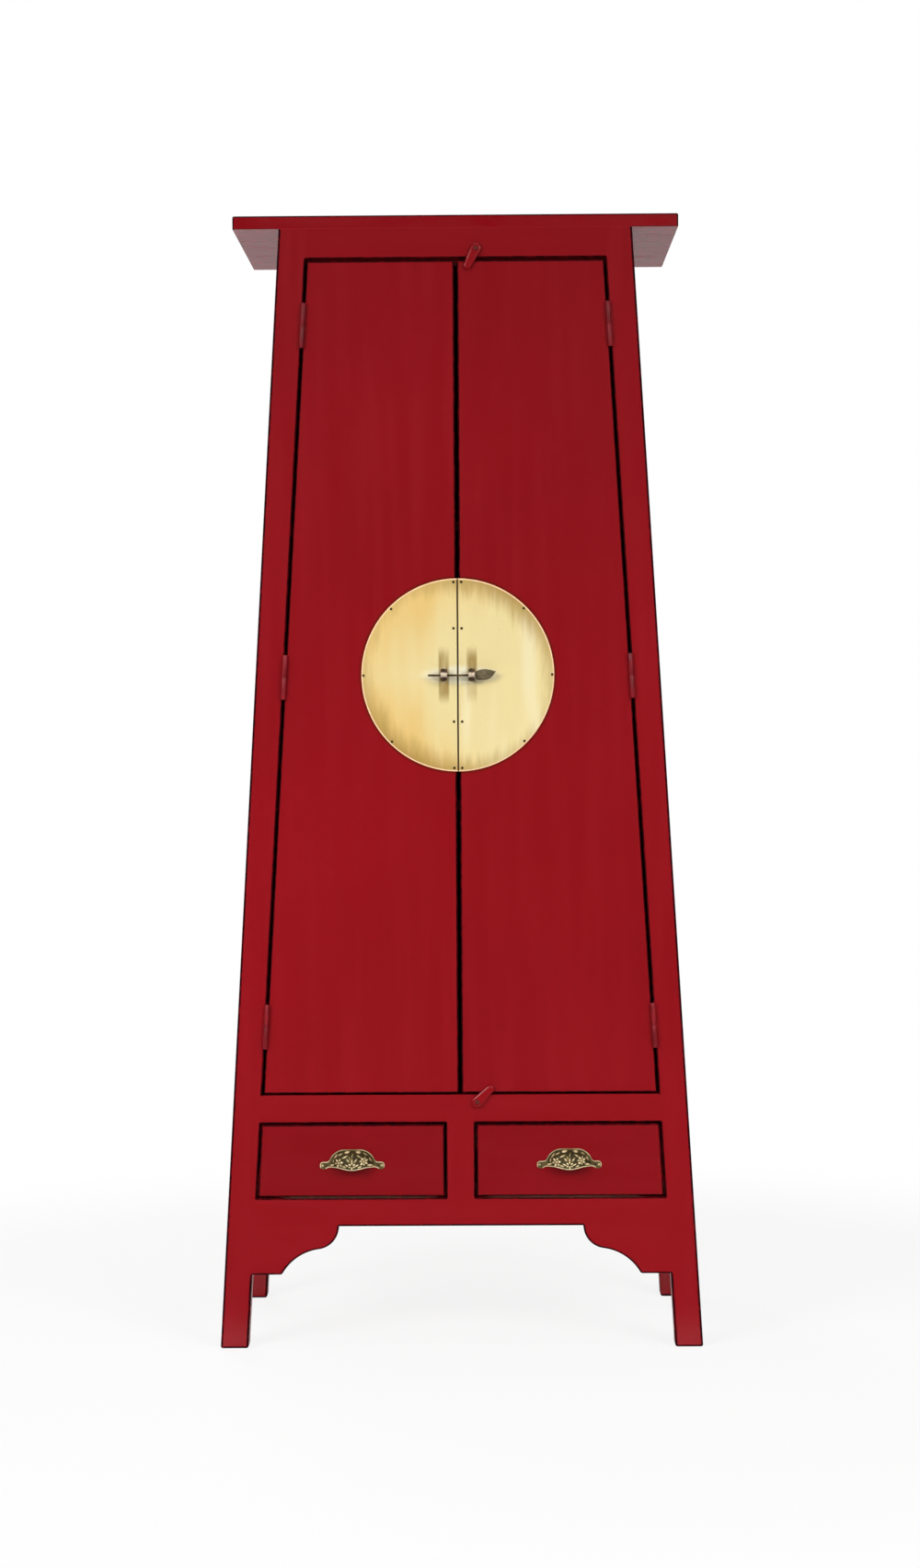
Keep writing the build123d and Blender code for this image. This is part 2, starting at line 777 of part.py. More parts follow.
nodes = {
    "top_board": top_board(),
    "top_rail": top_rail() - screw_hole(0),
    "middle_rail": middle_rail() - screw_hole(1),
    "lower_rail": lower_rail(),
    "drawer_divider": drawer_divider(),
    "back_top_rail": back_rail("back_top_rail"),
    "back_middle_rail": back_rail("back_middle_rail"),
    "back_lower_rail": back_rail("back_lower_rail"),
    "back_panel": back_panel(),
    "cupboard_floor": cupboard_floor(),
    "lower_shelf": shelf(0),
    "upper_shelf": shelf(1),
    "shelf_cleats": shelf_cleats(),
    "drawer_runner_centre": centre_runner(),
    "door_stop": door_stop(),
    "hinge_frame_leaves": Compound(children=both_sides(at_hinges(hinge_leaf(False)))),
    "hinge_pins": Compound(children=both_sides(at_hinges(Cylinder(hinge_pin_radius, hinge_length)))),
    "turn_button_screws": turn_button_screws(),
    "turn_button_top": turn_button(0),
    "turn_button_foot": turn_button(1),
    "latch_pin": latch_pin(),
}
nodes.update(twins("front_leg", front_leg()))
nodes.update(twins("rear_leg", rear_leg()))
nodes.update(twins("apron_bracket", apron_bracket()))
nodes.update(twins("side_panel", side_panel_board(0)))
nodes.update(twins("side_top_rail", side_rail("side_top_rail")))
nodes.update(twins("side_lower_rail", side_rail("side_lower_rail")))
nodes.update(twins("floor_bearer", floor_bearer()))
nodes.update(twins("drawer_runner", side_runner()))
nodes.update(twins("door_panel", door_panel()))
nodes.update(twins("door_battens", door_battens()))
nodes.update(twins("face_plate", face_plate()))
nodes.update(twins("latch_eye", latch_eye()))
nodes.update(twins("latch_eye_nut", latch_eye_nut()))
nodes.update(twins("drawer_front", drawer_front()))
nodes.update(twins("drawer_sides", drawer_sides()))
nodes.update(twins("drawer_back", drawer_back()))
nodes.update(twins("drawer_bottom", drawer_bottom(0)))
nodes.update(twins("cup_pull", cup_pull()))
door_leaves = at_hinges(hinge_leaf(True))
nodes["door_hinge_leaves_left"] = Compound(children=door_leaves)
nodes["door_hinge_leaves_right"] = Compound(children=[left(leaf) for leaf in door_leaves])

os.makedirs("parts", exist_ok=True)
for name, shape in nodes.items():
    export_step(shape, f"parts/{name}.step")
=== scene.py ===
import json
import math

import bmesh
import bpy
from mathutils import Matrix, Vector, noise
from mathutils.bvhtree import BVHTree

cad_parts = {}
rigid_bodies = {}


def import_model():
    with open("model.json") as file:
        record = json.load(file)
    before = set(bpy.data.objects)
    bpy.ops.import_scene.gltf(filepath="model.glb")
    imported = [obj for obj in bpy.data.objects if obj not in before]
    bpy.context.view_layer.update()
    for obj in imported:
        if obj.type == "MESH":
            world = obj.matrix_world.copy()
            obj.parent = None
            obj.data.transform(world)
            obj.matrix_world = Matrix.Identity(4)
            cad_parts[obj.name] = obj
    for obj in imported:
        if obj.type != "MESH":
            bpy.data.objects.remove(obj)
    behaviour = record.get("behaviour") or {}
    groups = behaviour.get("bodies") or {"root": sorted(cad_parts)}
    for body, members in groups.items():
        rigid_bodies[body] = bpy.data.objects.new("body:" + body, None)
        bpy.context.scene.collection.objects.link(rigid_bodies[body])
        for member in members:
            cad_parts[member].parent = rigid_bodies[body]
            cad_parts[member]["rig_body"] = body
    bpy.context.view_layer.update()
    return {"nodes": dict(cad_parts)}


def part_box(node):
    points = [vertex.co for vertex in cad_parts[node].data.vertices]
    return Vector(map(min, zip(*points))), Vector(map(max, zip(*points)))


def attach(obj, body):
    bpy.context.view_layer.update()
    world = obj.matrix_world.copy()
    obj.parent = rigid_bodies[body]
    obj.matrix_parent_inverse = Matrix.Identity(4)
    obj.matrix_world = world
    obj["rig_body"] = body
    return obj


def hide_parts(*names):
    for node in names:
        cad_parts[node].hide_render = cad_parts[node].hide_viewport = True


# A tapered red lacquer cabinet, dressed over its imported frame. Metres, +Z up, -Y out of the front.

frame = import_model()

MM = 0.001
SIDES = ("left", "right")

# ------------ measures of the finish
EASE_GAP = 2.1 * MM          # rounding of edges beside a gap
EASE_OUTER = 3.8 * MM        # rounding of the cabinet's outer edges
EASE_INNER = 0.8 * MM        # rounding of boards inside
EASE_LEAF = 0.6 * MM         # rounding of the doors and drawer fronts
EASED_STRIP = 3.2 * MM       # a face narrower than this is an eased edge
GAP_REACH = 9 * MM           # an edge this near a door or drawer is beside a gap
JOINT_REACH = 0.45 * MM      # an edge this near another piece of its body is a joint
SAMPLE_STEP = 4 * MM         # how closely an edge is searched for joints
SHORTEST_EASE = 0.3 * MM     # an edge shorter than this stays sharp
WELD = 0.01 * MM             # points of a CAD mesh this near are one
FINE_WELD = 0.002 * MM       # and of a shape built here
FLAT_ANGLE = math.radians(0.8)    # faces that turn less are one
SHARP_ANGLE = math.radians(28)    # edges that turn more get rounded
SMOOTH_BOARD = math.radians(38)   # edges that turn less are shaded smooth
SMOOTH_METAL = math.radians(32)
SMOOTH_SHAPE = math.radians(40)

# ------------ where things are
TOP_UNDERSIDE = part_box("top_board")[0].z
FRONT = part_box("lower_rail")[0].y
PLATE_LOW, PLATE_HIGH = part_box("face_plate_left")
PLATE_CENTRE_Z = (PLATE_LOW.z + PLATE_HIGH.z) / 2
PLATE_RADIUS = (PLATE_HIGH.z - PLATE_LOW.z) / 2
PLATE_HALF_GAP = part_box("face_plate_right")[0].x
EYE_LOW, EYE_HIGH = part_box("latch_eye_right")
EYE_X = (EYE_LOW.x + EYE_HIGH.x) / 2
EYE_WIDTH = EYE_HIGH.x - EYE_LOW.x
EYE_RADIUS = (EYE_HIGH.z - EYE_LOW.z) / 2
EYE_AXIS_Y = EYE_LOW.y + EYE_RADIUS


# ------------ node helpers

def operators(operation):
    """An operator of Value and its mirrored twin, each of which makes a math node."""
    return (lambda value, other: value.nodes.math(operation, value, other),
            lambda value, other: value.nodes.math(operation, other, value))


class Value:
    """A node's output. Sums with it become math nodes."""

    def __init__(self, nodes, socket):
        self.nodes, self.socket = nodes, socket

    def __abs__(self):
        return self.nodes.math("ABSOLUTE", self)

    __add__, __radd__ = operators("ADD")
    __sub__, __rsub__ = operators("SUBTRACT")
    __mul__, __rmul__ = operators("MULTIPLY")
    __truediv__, __rtruediv__ = operators("DIVIDE")
    __pow__, __rpow__ = operators("POWER")


class Nodes:
    """A node tree under construction, with short calls for the nodes used here."""

    def __init__(self, tree):
        self.tree = tree
        tree.nodes.clear()

    def node(self, kind, *values, **settings):
        """A new node with its settings; values go into its first inputs."""
        made = self.tree.nodes.new("ShaderNode" + kind)
        for key, value in settings.items():
            setattr(made, key, value)
        self.feed(made, dict(enumerate(values)))
        return made

    def feed(self, node, inputs):
        """Set inputs by name or number, or link those that get another node's output."""
        for key, value in inputs.items():
            socket = node.inputs[key]
            if isinstance(value, Value):
                self.tree.links.new(value.socket, socket)
            elif socket.type == "RGBA":
                socket.default_value = (*value, 1.0)
            else:
                socket.default_value = value

    def result(self, node, key=0):
        return Value(self, node.outputs[key])

    def math(self, operation, *values):
        return self.result(self.node("Math", *values, operation=operation))

    def split(self, vector):
        parts = self.node("SeparateXYZ", vector)
        return [self.result(parts, k) for k in range(3)]

    def between(self, value, low, high, to_low=0.0, to_high=1.0, smooth=True):
        """Map low..high of a value to to_low..to_high."""
        return self.result(self.node("MapRange", value, low, high, to_low, to_high,
                                     interpolation_type="SMOOTHSTEP" if smooth else "LINEAR"))

    def mixed(self, factor, first, second):
        """Two shaders mixed."""
        return self.result(self.node("MixShader", factor, first, second))

    def ray(self, kind):
        """1 where a ray of that kind arrives, such as Camera or Glossy."""
        return self.result(self.node("LightPath"), f"Is {kind} Ray")


class Shader(Nodes):
    """A material's nodes, from object coordinates to a surface shader."""

    def __init__(self, name):
        self.material = bpy.data.materials.new(name)
        self.material.use_nodes = True
        super().__init__(self.material.node_tree)
        self.surface = self.node("BsdfPrincipled")
        self.output = self.node("OutputMaterial", self.result(self.surface))
        coordinates = self.node("TexCoord")
        self.place = self.result(coordinates, "Object")
        self.normal = self.result(coordinates, "Normal")

    def set(self, **inputs):
        """Set or link inputs of the surface shader by name, with _ for a space."""
        self.feed(self.surface, {key.replace("_", " "): value for key, value in inputs.items()})

    def stretched(self, scale, offset=(0.0, 0.0, 0.0)):
        """Object coordinates scaled along each axis, to stretch a texture."""
        made = self.node("Mapping", self.place)
        self.feed(made, {"Scale": scale, "Location": offset})
        return self.result(made)

    def noise(self, scale, detail=3.0, roughness=0.6, distortion=0.0, vector=None):
        made = self.node("TexNoise", vector or self.place)
        self.feed(made, {"Scale": scale, "Detail": detail, "Roughness": roughness, "Distortion": distortion})
        return self.result(made, "Fac")

    def blend(self, factor, first, second):
        """Two colours mixed."""
        made = self.node("Mix", factor, data_type="RGBA", blend_type="MIX", clamp_factor=True)
        self.feed(made, {6: first, 7: second})
        return self.result(made, 2)

    def bump(self, height, strength, distance):
        made = self.node("Bump")
        self.feed(made, {"Strength": strength, "Distance": distance, "Height": height})
        self.set(Normal=self.result(made))


# ------------ materials

RED = (0.290, 0.0026, 0.0072)
RED_DEEP = (0.262, 0.0022, 0.0060)
RED_BRIGHT = (0.312, 0.0032, 0.0088)
RED_PAINTED_SHEEN = (0.42, 0.012, 0.030)
RED_PAINTED_SHADOW = (0.150, 0.0050, 0.0010)
EDGE_DARK = (0.026, 0.0012, 0.0030)
GRAIN_STRETCH = {"x": (3.0, 46.0, 46.0), "y": (46.0, 3.0, 46.0), "z": (46.0, 46.0, 3.0)}


def along_grain(s, grain, finer=1.0, offset=(0.0, 0.0, 0.0)):
    """Coordinates stretched along the grain, and finer by a factor."""
    return s.stretched([finer * k for k in GRAIN_STRETCH[grain]], offset)


def from_plate_centre(s):
    """Distances from the plate's centre: across, up and straight."""
    x, _, z = s.split(s.place)
    dz = z - PLATE_CENTRE_Z
    return x, dz, s.math("SQRT", x * x + dz * dz)


def lacquer(name, grain, worn_and_shaded=False, tone=1.0, underside=None, plate_shadow=False):
    """Red lacquer brushed along one axis; the worn kind is dark along edges, partly rubbed wear and partly
    painted shade.

    Where it reaches the height underside it is painted paler as a sheen, and its gloss is streaky.
    The kind for the doors has a painted shadow: a thin dark ring round the brass plate.
    """
    s = Shader(name)
    deep, middle, light = ([k * tone for k in colour] for colour in (RED_DEEP, RED, RED_BRIGHT))
    clouds = s.noise(2.2, detail=2.0, roughness=0.55)
    streaks = s.noise(1.0, detail=2.0, roughness=0.5, vector=along_grain(s, grain))
    fine = s.noise(1.0, detail=2.0, roughness=0.5, vector=along_grain(s, grain, 6.5, (3.1, 1.7, 0.4)))
    colour = s.blend(s.between(clouds, 0.30, 0.70), deep, middle)
    colour = s.blend(s.between(streaks, 0.42, 0.78, 0.0, 0.40), colour, light)
    colour = s.blend(s.between(fine, 0.58, 0.80, 0.0, 0.30), colour, deep)
    rough = s.between(streaks, 0.25, 0.75, 0.215, 0.265, smooth=False)
    gloss = 0.42
    if worn_and_shaded:
        # Dark along the edges: partly rubbed wear, partly painted shade.
        chips = s.noise(85.0)
        colour = s.blend(s.between(chips, 0.30, 0.56, 0.60, 1.0), colour, EDGE_DARK)
        rough, gloss = 0.55, 0.03
    if underside is not None:
        # The underside is painted paler, a painted sheen of reflected light.
        below = s.between(s.split(s.place)[2], underside + 0.8 * MM, underside + 0.2 * MM)
        colour = s.blend(below, colour, RED_PAINTED_SHEEN)
        patches = s.noise(1.0, detail=4.0, roughness=0.7,
                          vector=s.stretched((11.0, 24.0, 24.0), (2.0, 0.5, 0.0)))
        gloss = s.between(patches, 0.46, 0.68, 0.46, 0.14)
    if plate_shadow:
        # Painted shadow of the plate: a dark ring on the lacquer round its edge.
        _, _, radius = from_plate_centre(s)
        ring = s.between(radius, PLATE_RADIUS + 5.0 * MM, PLATE_RADIUS + 2.5 * MM, 0.0, 0.90)
        colour = s.blend(ring, colour, RED_PAINTED_SHADOW)
    s.set(Base_Color=colour, Roughness=rough, Specular_IOR_Level=gloss)
    s.bump(fine, 0.02, 0.2 * MM)
    return s.material


def bare_wood(name, grain):
    """Matt softwood inside: growth rings cut along the board, with soft stains."""
    s = Shader(name)
    early, late, pore, stain = ((0.335, 0.190, 0.098), (0.215, 0.108, 0.052),
                                (0.110, 0.052, 0.026), (0.150, 0.080, 0.045))
    rings = s.noise(1.0, detail=5.0, roughness=0.62, distortion=1.2, vector=along_grain(s, grain, 0.8))
    pores = s.noise(1.0, detail=2.0, roughness=0.7, vector=along_grain(s, grain, 9.0))
    stains = s.noise(5.0, roughness=0.5)
    colour = s.blend(s.between(rings, 0.35, 0.68), early, late)
    colour = s.blend(s.between(pores, 0.60, 0.80, 0.0, 0.5), colour, pore)
    colour = s.blend(s.between(stains, 0.55, 0.85, 0.0, 0.45), colour, stain)
    s.set(Base_Color=colour, Roughness=s.between(pores, 0.3, 0.8, 0.62, 0.80), Specular_IOR_Level=0.3)
    s.bump(rings, 0.25, 0.5 * MM)
    return s.material


def plate_brass():
    """Brushed brass in soft upright bands, brown patina by the rim, painted reflections by the eyes and a
    painted highlight by the pin.
    """
    s = Shader("plate_brass")
    pale, warm, bright, highlight_colour = ((0.93, 0.77, 0.37), (0.90, 0.62, 0.21),
                                    (0.99, 0.87, 0.52), (1.00, 0.94, 0.70))
    olive, brown = (0.47, 0.295, 0.060), (0.40, 0.205, 0.038)
    reflection_colour, seam_darkening = (0.40, 0.255, 0.060), (0.12, 0.065, 0.020)
    x, dz, radius = from_plate_centre(s)
    brushed = s.noise(1.0, detail=4.0, vector=s.stretched((260.0, 260.0, 9.0)))
    bands = s.noise(1.0, detail=1.5, roughness=0.5, vector=s.stretched((26.0, 26.0, 3.2), (4.2, 0.0, 1.3)))
    streaks = s.noise(1.0, vector=s.stretched((75.0, 75.0, 10.0), (0.7, 0.0, 2.9)))
    specks = s.noise(150.0, detail=2.0)
    # It is warmest to the left, above and below the pin.
    warmth = abs(dz) / PLATE_RADIUS - x / PLATE_RADIUS + (bands - 0.5) * -1.5
    colour = s.blend(s.between(warmth, 0.40, 1.45), pale, warm)
    colour = s.blend(s.between(bands, 0.53, 0.75, 0.0, 0.85), colour, bright)
    # A painted highlight keeps the metal round the pin bright.
    rod = ((x - 4 * MM) / (55 * MM)) ** 2.0 + (dz / (14 * MM)) ** 2.0
    colour = s.blend(s.between(rod, 1.9, 0.3, 0.0, 0.85), colour, highlight_colour)
    # Patina creeps in from the rim, furthest at the upper right and the lower left.
    lobe = ((x * 0.57 + dz * 0.82) / radius) ** 2.0
    uneven = radius / PLATE_RADIUS + (streaks - 0.5) * 0.30
    rim = s.between(uneven, 0.86 - lobe * 0.14, 1.03) * (0.35 + lobe * 0.60)
    colour = s.blend(rim, colour, s.blend(s.between(streaks, 0.35, 0.60), brown, olive))
    # Painted reflections of the eyes darken upright strips above and below each eye, least below the right
    # one.
    strip = s.between(abs(abs(x) - EYE_X), 10.5 * MM, 6.5 * MM) * s.between(abs(dz), 52 * MM, 26 * MM)
    fainter = s.between(x, 0.0, MM, 0.0, 0.55) * s.between(dz, 0.0, -MM)
    painted_reflection = strip * (1.0 - fainter) * s.between(streaks, 0.30, 0.55, 0.55, 1.0)
    colour = s.blend(painted_reflection * 0.90, colour, reflection_colour)
    colour = s.blend(s.between(specks, 0.68, 0.78, 0.0, 0.30), colour, olive)
    # The plate is darker along the seam.
    colour = s.blend(s.between(abs(x), 1.9 * MM, 1.1 * MM), colour, seam_darkening)
    # Roughness rises with the rim's patina and with the painted reflections.
    tarnish_and_reflection = s.math("MAXIMUM", rim, painted_reflection)
    s.set(Base_Color=colour, Metallic=0.22,
          Roughness=s.between(brushed, 0.25, 0.75, 0.42, 0.54) + tarnish_and_reflection * 0.12)
    s.bump(brushed * 0.6 + streaks * 0.4, 0.15, 0.4 * MM)
    return s.material


def cast_bronze():
    """Antiqued casting: dark in the hollows, bright and worn on the high spots."""
    s = Shader("cast_bronze")
    hollows, skin, heights = (0.040, 0.029, 0.007), (0.280, 0.207, 0.072), (1.00, 0.82, 0.50)
    relief = s.result(s.node("Attribute", attribute_name="relief"), "Fac")
    height = relief + (s.noise(60.0) - 0.5) * 0.30
    colour = s.blend(s.between(height, 0.05, 0.45), hollows, skin)
    colour = s.blend(s.between(height, 0.42, 0.82), colour, heights)
    s.set(Base_Color=colour, Metallic=s.between(height, 0.3, 1.0, 0.60, 0.22),
          Roughness=s.between(height, 0.0, 1.0, 0.60, 0.32))
    s.bump(s.noise(420.0, roughness=0.65), 0.25, 0.2 * MM)
    return s.material


def dark_bronze():
    """Bronze handled to a brown skin, brighter where it is rubbed."""
    s = Shader("dark_bronze")
    clouds = s.noise(110.0)
    colour = s.blend(s.between(clouds, 0.34, 0.66), (0.044, 0.028, 0.012), (0.180, 0.120, 0.052))
    s.set(Base_Color=colour, Metallic=0.60, Roughness=s.between(clouds, 0.3, 0.7, 0.56, 0.42),
          Specular_IOR_Level=0.25)
    s.bump(clouds + s.noise(520.0, detail=2.0) * 0.4, 0.25, 0.3 * MM)
    return s.material


def bronze_with_painted_highlight():
    """Dark bronze of the eyes, with a painted highlight where it faces out of the front."""
    s = Shader("bronze_with_painted_highlight")
    dark, brown, highlight_colour = (0.034, 0.020, 0.012), (0.130, 0.085, 0.050), (0.80, 0.64, 0.47)
    clouds = s.noise(160.0)
    _, towards, upward = s.split(s.normal)
    # Painted highlight: pale where the surface faces the front and neither up nor down.
    front_highlight = s.between(abs(upward), 0.52, 0.16) * s.between(towards, -0.3, -0.6)
    colour = s.blend(s.between(clouds, 0.34, 0.66), dark, brown)
    colour = s.blend(front_highlight * 0.9, colour, highlight_colour)
    s.set(Base_Color=colour, Metallic=s.between(front_highlight, 0.0, 1.0, 0.70, 0.35),
          Roughness=s.between(clouds, 0.3, 0.7, 0.44, 0.30))
    s.bump(clouds, 0.2, 0.2 * MM)
    return s.material


def mottled(name, scale, spread, low, high, metallic, rough, gloss, depth):
    """A metal with a mottled skin; spread is half the stretch of noise between its two colours."""
    s = Shader(name)
    clouds = s.noise(scale)
    s.set(Base_Color=s.blend(s.between(clouds, 0.5 - spread, 0.5 + spread), low, high),
          Metallic=metallic, Roughness=s.between(clouds, 0.3, 0.7, *rough), Specular_IOR_Level=gloss)
    s.bump(clouds, 0.2, depth * MM)
    return s.material


def small_metal(name, low, high, metallic):
    """Small ironware or brass."""
    return mottled(name, 260.0, 0.2, low, high, metallic, (0.50, 0.36), 0.5 if metallic else 0.15, 0.15)


def painted_metal():
    """Hinge metal under the same red, thin and dark where it has rubbed."""
    s = Shader("painted_metal")
    drips = s.noise(1.0, detail=4.0, vector=s.stretched((130.0, 130.0, 30.0)))
    colour = s.blend(s.between(drips, 0.35, 0.68), (0.150, 0.006, 0.010), (0.300, 0.010, 0.018))
    colour = s.blend(s.between(drips, 0.20, 0.36, 0.75, 0.0), colour, (0.050, 0.014, 0.012))
    s.set(Base_Color=colour, Roughness=s.between(drips, 0.3, 0.7, 0.34, 0.44), Specular_IOR_Level=0.25)
    s.bump(drips, 0.3, 0.4 * MM)
    return s.material


LACQUER = {axis: lacquer("lacquer_along_" + axis, axis) for axis in "xyz"}
WORN_AND_SHADED = {axis: lacquer("worn_and_shaded_edge_along_" + axis, axis, worn_and_shaded=True) for axis in "xyz"}
DOOR_RED = {"left": lacquer("lacquer_on_left_door", "z", plate_shadow=True),
            "right": lacquer("lacquer_on_right_door", "z", tone=0.96, plate_shadow=True)}
TOP_RED = lacquer("lacquer_on_top_board", "x", underside=TOP_UNDERSIDE)
DRAWER_RED = lacquer("lacquer_on_drawers", "x", tone=0.86)
BUTTON_RED = lacquer("lacquer_on_buttons", "z")
WOOD = {axis: bare_wood("softwood_along_" + axis, axis) for axis in "xyz"}
PLATE = plate_brass()
CASTING = cast_bronze()
BRONZE = dark_bronze()
BLADE = mottled("blade_bronze", 90.0, 0.18, (0.125, 0.098, 0.048), (0.275, 0.215, 0.118),
                0.55, (0.56, 0.44), 0.5, 0.3)
PAINTED_HIGHLIGHT_BRONZE = bronze_with_painted_highlight()
HINGE = painted_metal()
NAIL = small_metal("nail_iron", (0.024, 0.014, 0.004), (0.085, 0.050, 0.010), 0.0)
STEEL = small_metal("plain_steel", (0.23, 0.22, 0.21), (0.42, 0.41, 0.39), 1.0)
PAINTED_SCREW = small_metal("painted_screw", (0.100, 0.012, 0.012), (0.200, 0.026, 0.020), 0.0)
# The plate's rim is painted pale all round, a painted highlight.
RIM_PAINTED_HIGHLIGHT = small_metal("rim_brass_painted_highlight", (1.00, 0.62, 0.34), (1.00, 0.74, 0.46), 0.0)


# ------------ mesh helpers

def body_of(node):
    return frame["nodes"][node]["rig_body"]


def add_object(name, data):
    """A new object in the scene."""
    made = bpy.data.objects.new(name, data)
    bpy.context.scene.collection.objects.link(made)
    return made


def place(node, mesh):
    """Put a finished mesh on its body, in place of the CAD node it stands for."""
    piece = add_object(node + "_dressed", mesh)
    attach(piece, body_of(node))
    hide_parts(node)


def finish_mesh(bm, name, materials, smooth_angle=None):
    """Turn a bmesh into a mesh with outward normals and sharp edges kept by angle."""
    bmesh.ops.recalc_face_normals(bm, faces=bm.faces)
    mesh = bpy.data.meshes.new(name)
    bm.to_mesh(mesh)
    bm.free()
    if "custom_normal" in mesh.attributes:
        mesh.attributes.remove(mesh.attributes["custom_normal"])
    for material in materials:
        mesh.materials.append(material)
    if smooth_angle:
        for polygon in mesh.polygons:
            polygon.use_smooth = True
        mesh.set_sharp_from_angle(angle=smooth_angle)
    return mesh


def clean_copy(node):
    """A welded copy of a CAD node's mesh with its flat faces whole."""
    bm = bmesh.new()
    bm.from_mesh(frame["nodes"][node].data)
    bmesh.ops.remove_doubles(bm, verts=bm.verts, dist=WELD)
    bmesh.ops.dissolve_limit(bm, angle_limit=FLAT_ANGLE, verts=bm.verts, edges=bm.edges)
    for layer in list(bm.loops.layers.uv):
        bm.loops.layers.uv.remove(layer)
    bm.edges.layers.float.new("bevel_weight_edge")
    return bm


def tree_of(node):
    mesh = frame["nodes"][node].data
    return BVHTree.FromPolygons([v.co.copy() for v in mesh.vertices],
                                [tuple(p.vertices) for p in mesh.polygons])


TREES = {node: tree_of(node) for node in frame["nodes"]}
BOXES = {node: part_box(node) for node in frame["nodes"]}
MOVING_TREES = [TREES[node] for node in TREES if node.startswith(("door_panel_", "drawer_front_"))]


def near_boxes(node, reach):
    """Other nodes of the same body whose boxes come within reach of this one's."""
    low, high = BOXES[node]
    found = []
    for other, (other_low, other_high) in BOXES.items():
        if other == node or body_of(other) != body_of(node):
            continue
        if all(low[i] - reach < other_high[i] and other_low[i] < high[i] + reach for i in range(3)):
            found.append(other)
    return found


def is_free(point, trees):
    """Whether no neighbour touches the piece at a point."""
    return all(tree.find_nearest(point, JOINT_REACH)[0] is None for tree in trees)


def free_parts(start, end, trees):
    """Where along an edge, from 0 to 1, it passes between free and joined, and its first state."""
    count = max(2, int((end - start).length / SAMPLE_STEP))
    states = [is_free(start.lerp(end, (i + 0.5) / count), trees) for i in range(count)]
    changes = []
    for i in range(1, count):
        if states[i] == states[i - 1]:
            continue
        low, high = (i - 0.5) / count, (i + 0.5) / count
        for _ in range(9):
            middle = (low + high) / 2
            if is_free(start.lerp(end, middle), trees) == states[i - 1]:
                low = middle
            else:
                high = middle
        changes.append((low + high) / 2)
    return states[0], changes


def sharp_edges(bm):
    return [e for e in bm.edges if len(e.link_faces) == 2 and e.is_convex
            and e.calc_face_angle(0.0) > SHARP_ANGLE and e.calc_length() > 2 * WELD]


def split_free_edges(bm, node):
    """The piece's sharp edges that nothing of its body covers, split where a joint begins."""
    trees = [TREES[other] for other in near_boxes(node, JOINT_REACH)]
    free = []
    for edge in sharp_edges(bm):
        start, end = edge.verts[0], edge.verts[1]
        state, changes = free_parts(start.co.copy(), end.co.copy(), trees)
        origin, direction, length = start.co.copy(), end.co - start.co, edge.calc_length()
        rest = edge
        for change in changes:
            point = origin + direction * change
            done = (point - start.co).length / max((end.co - start.co).length, 1e-9)
            piece, vertex = bmesh.utils.edge_split(rest, start, done)
            vertex.co = point
            near = piece if start in piece.verts else rest
            far = rest if near is piece else piece
            if state:
                free.append(near)
            rest, start, state = far, vertex, not state
        if state:
            free.append(rest)
    return [e for e in free if e.is_valid and e.calc_length() > SHORTEST_EASE]


def in_gap(edge):
    """Whether an edge of the carcass lies beside a door or a drawer."""
    middle = (edge.verts[0].co + edge.verts[1].co) / 2
    return any(tree.find_nearest(middle, GAP_REACH)[0] is not None for tree in MOVING_TREES)


def bevelled(bm, name, eases, materials):
    """A mesh whose chosen edges are rounded by their own widths, in the second material."""
    widest = max(eases.values(), default=MM)
    weight = bm.edges.layers.float["bevel_weight_edge"]
    for edge, width in eases.items():
        edge[weight] = width / widest
    sharp = add_object(name + "_sharp", finish_mesh(bm, name + "_sharp", materials))
    ease = sharp.modifiers.new("ease", "BEVEL")
    ease.limit_method = "WEIGHT"
    ease.offset_type = "OFFSET"
    ease.width = widest
    ease.segments = 3
    ease.material = 1
    ease.use_clamp_overlap = True
    shaped = sharp.evaluated_get(bpy.context.evaluated_depsgraph_get())
    mesh = bpy.data.meshes.new_from_object(shaped)
    mesh.name = name
    spare = sharp.data
    bpy.data.objects.remove(sharp)
    bpy.data.meshes.remove(spare)
    return mesh


def board(node, grain, ease=None, eased_strips=0.0, finish=None):
    """Dress a CAD board: free edges rounded, worn and darkened as painted shade, joints left flush.

    Faces narrower than eased_strips are edges that the CAD has eased already, and are worn and painted dark
    as shade too.
    """
    bm = clean_copy(node)
    if eased_strips:
        for face in bm.faces:
            longest = max(e.calc_length() for e in face.edges)
            face.material_index = int(face.calc_area() / longest < eased_strips)
    edges = split_free_edges(bm, node)
    eases = {edge: ease or (EASE_GAP if in_gap(edge) else EASE_OUTER) for edge in edges}
    mesh = bevelled(bm, node + "_board", eases, finish or (LACQUER[grain], WORN_AND_SHADED[grain]))
    mesh.set_sharp_from_angle(angle=SMOOTH_BOARD)
    for polygon in mesh.polygons:
        polygon.use_smooth = polygon.material_index == 1
    place(node, mesh)


def plain_piece(node, material, ease=0.0):
    """Dress a CAD node with a material over a welded copy, its edges slightly broken."""
    bm = clean_copy(node)
    if ease:
        bmesh.ops.bevel(bm, geom=sharp_edges(bm), offset=ease, offset_type="OFFSET", segments=2,
                        profile=0.5, affect="EDGES", clamp_overlap=True)
    place(node, finish_mesh(bm, node + "_mesh", (material,), SMOOTH_METAL))


# ------------ carcass, doors and drawers

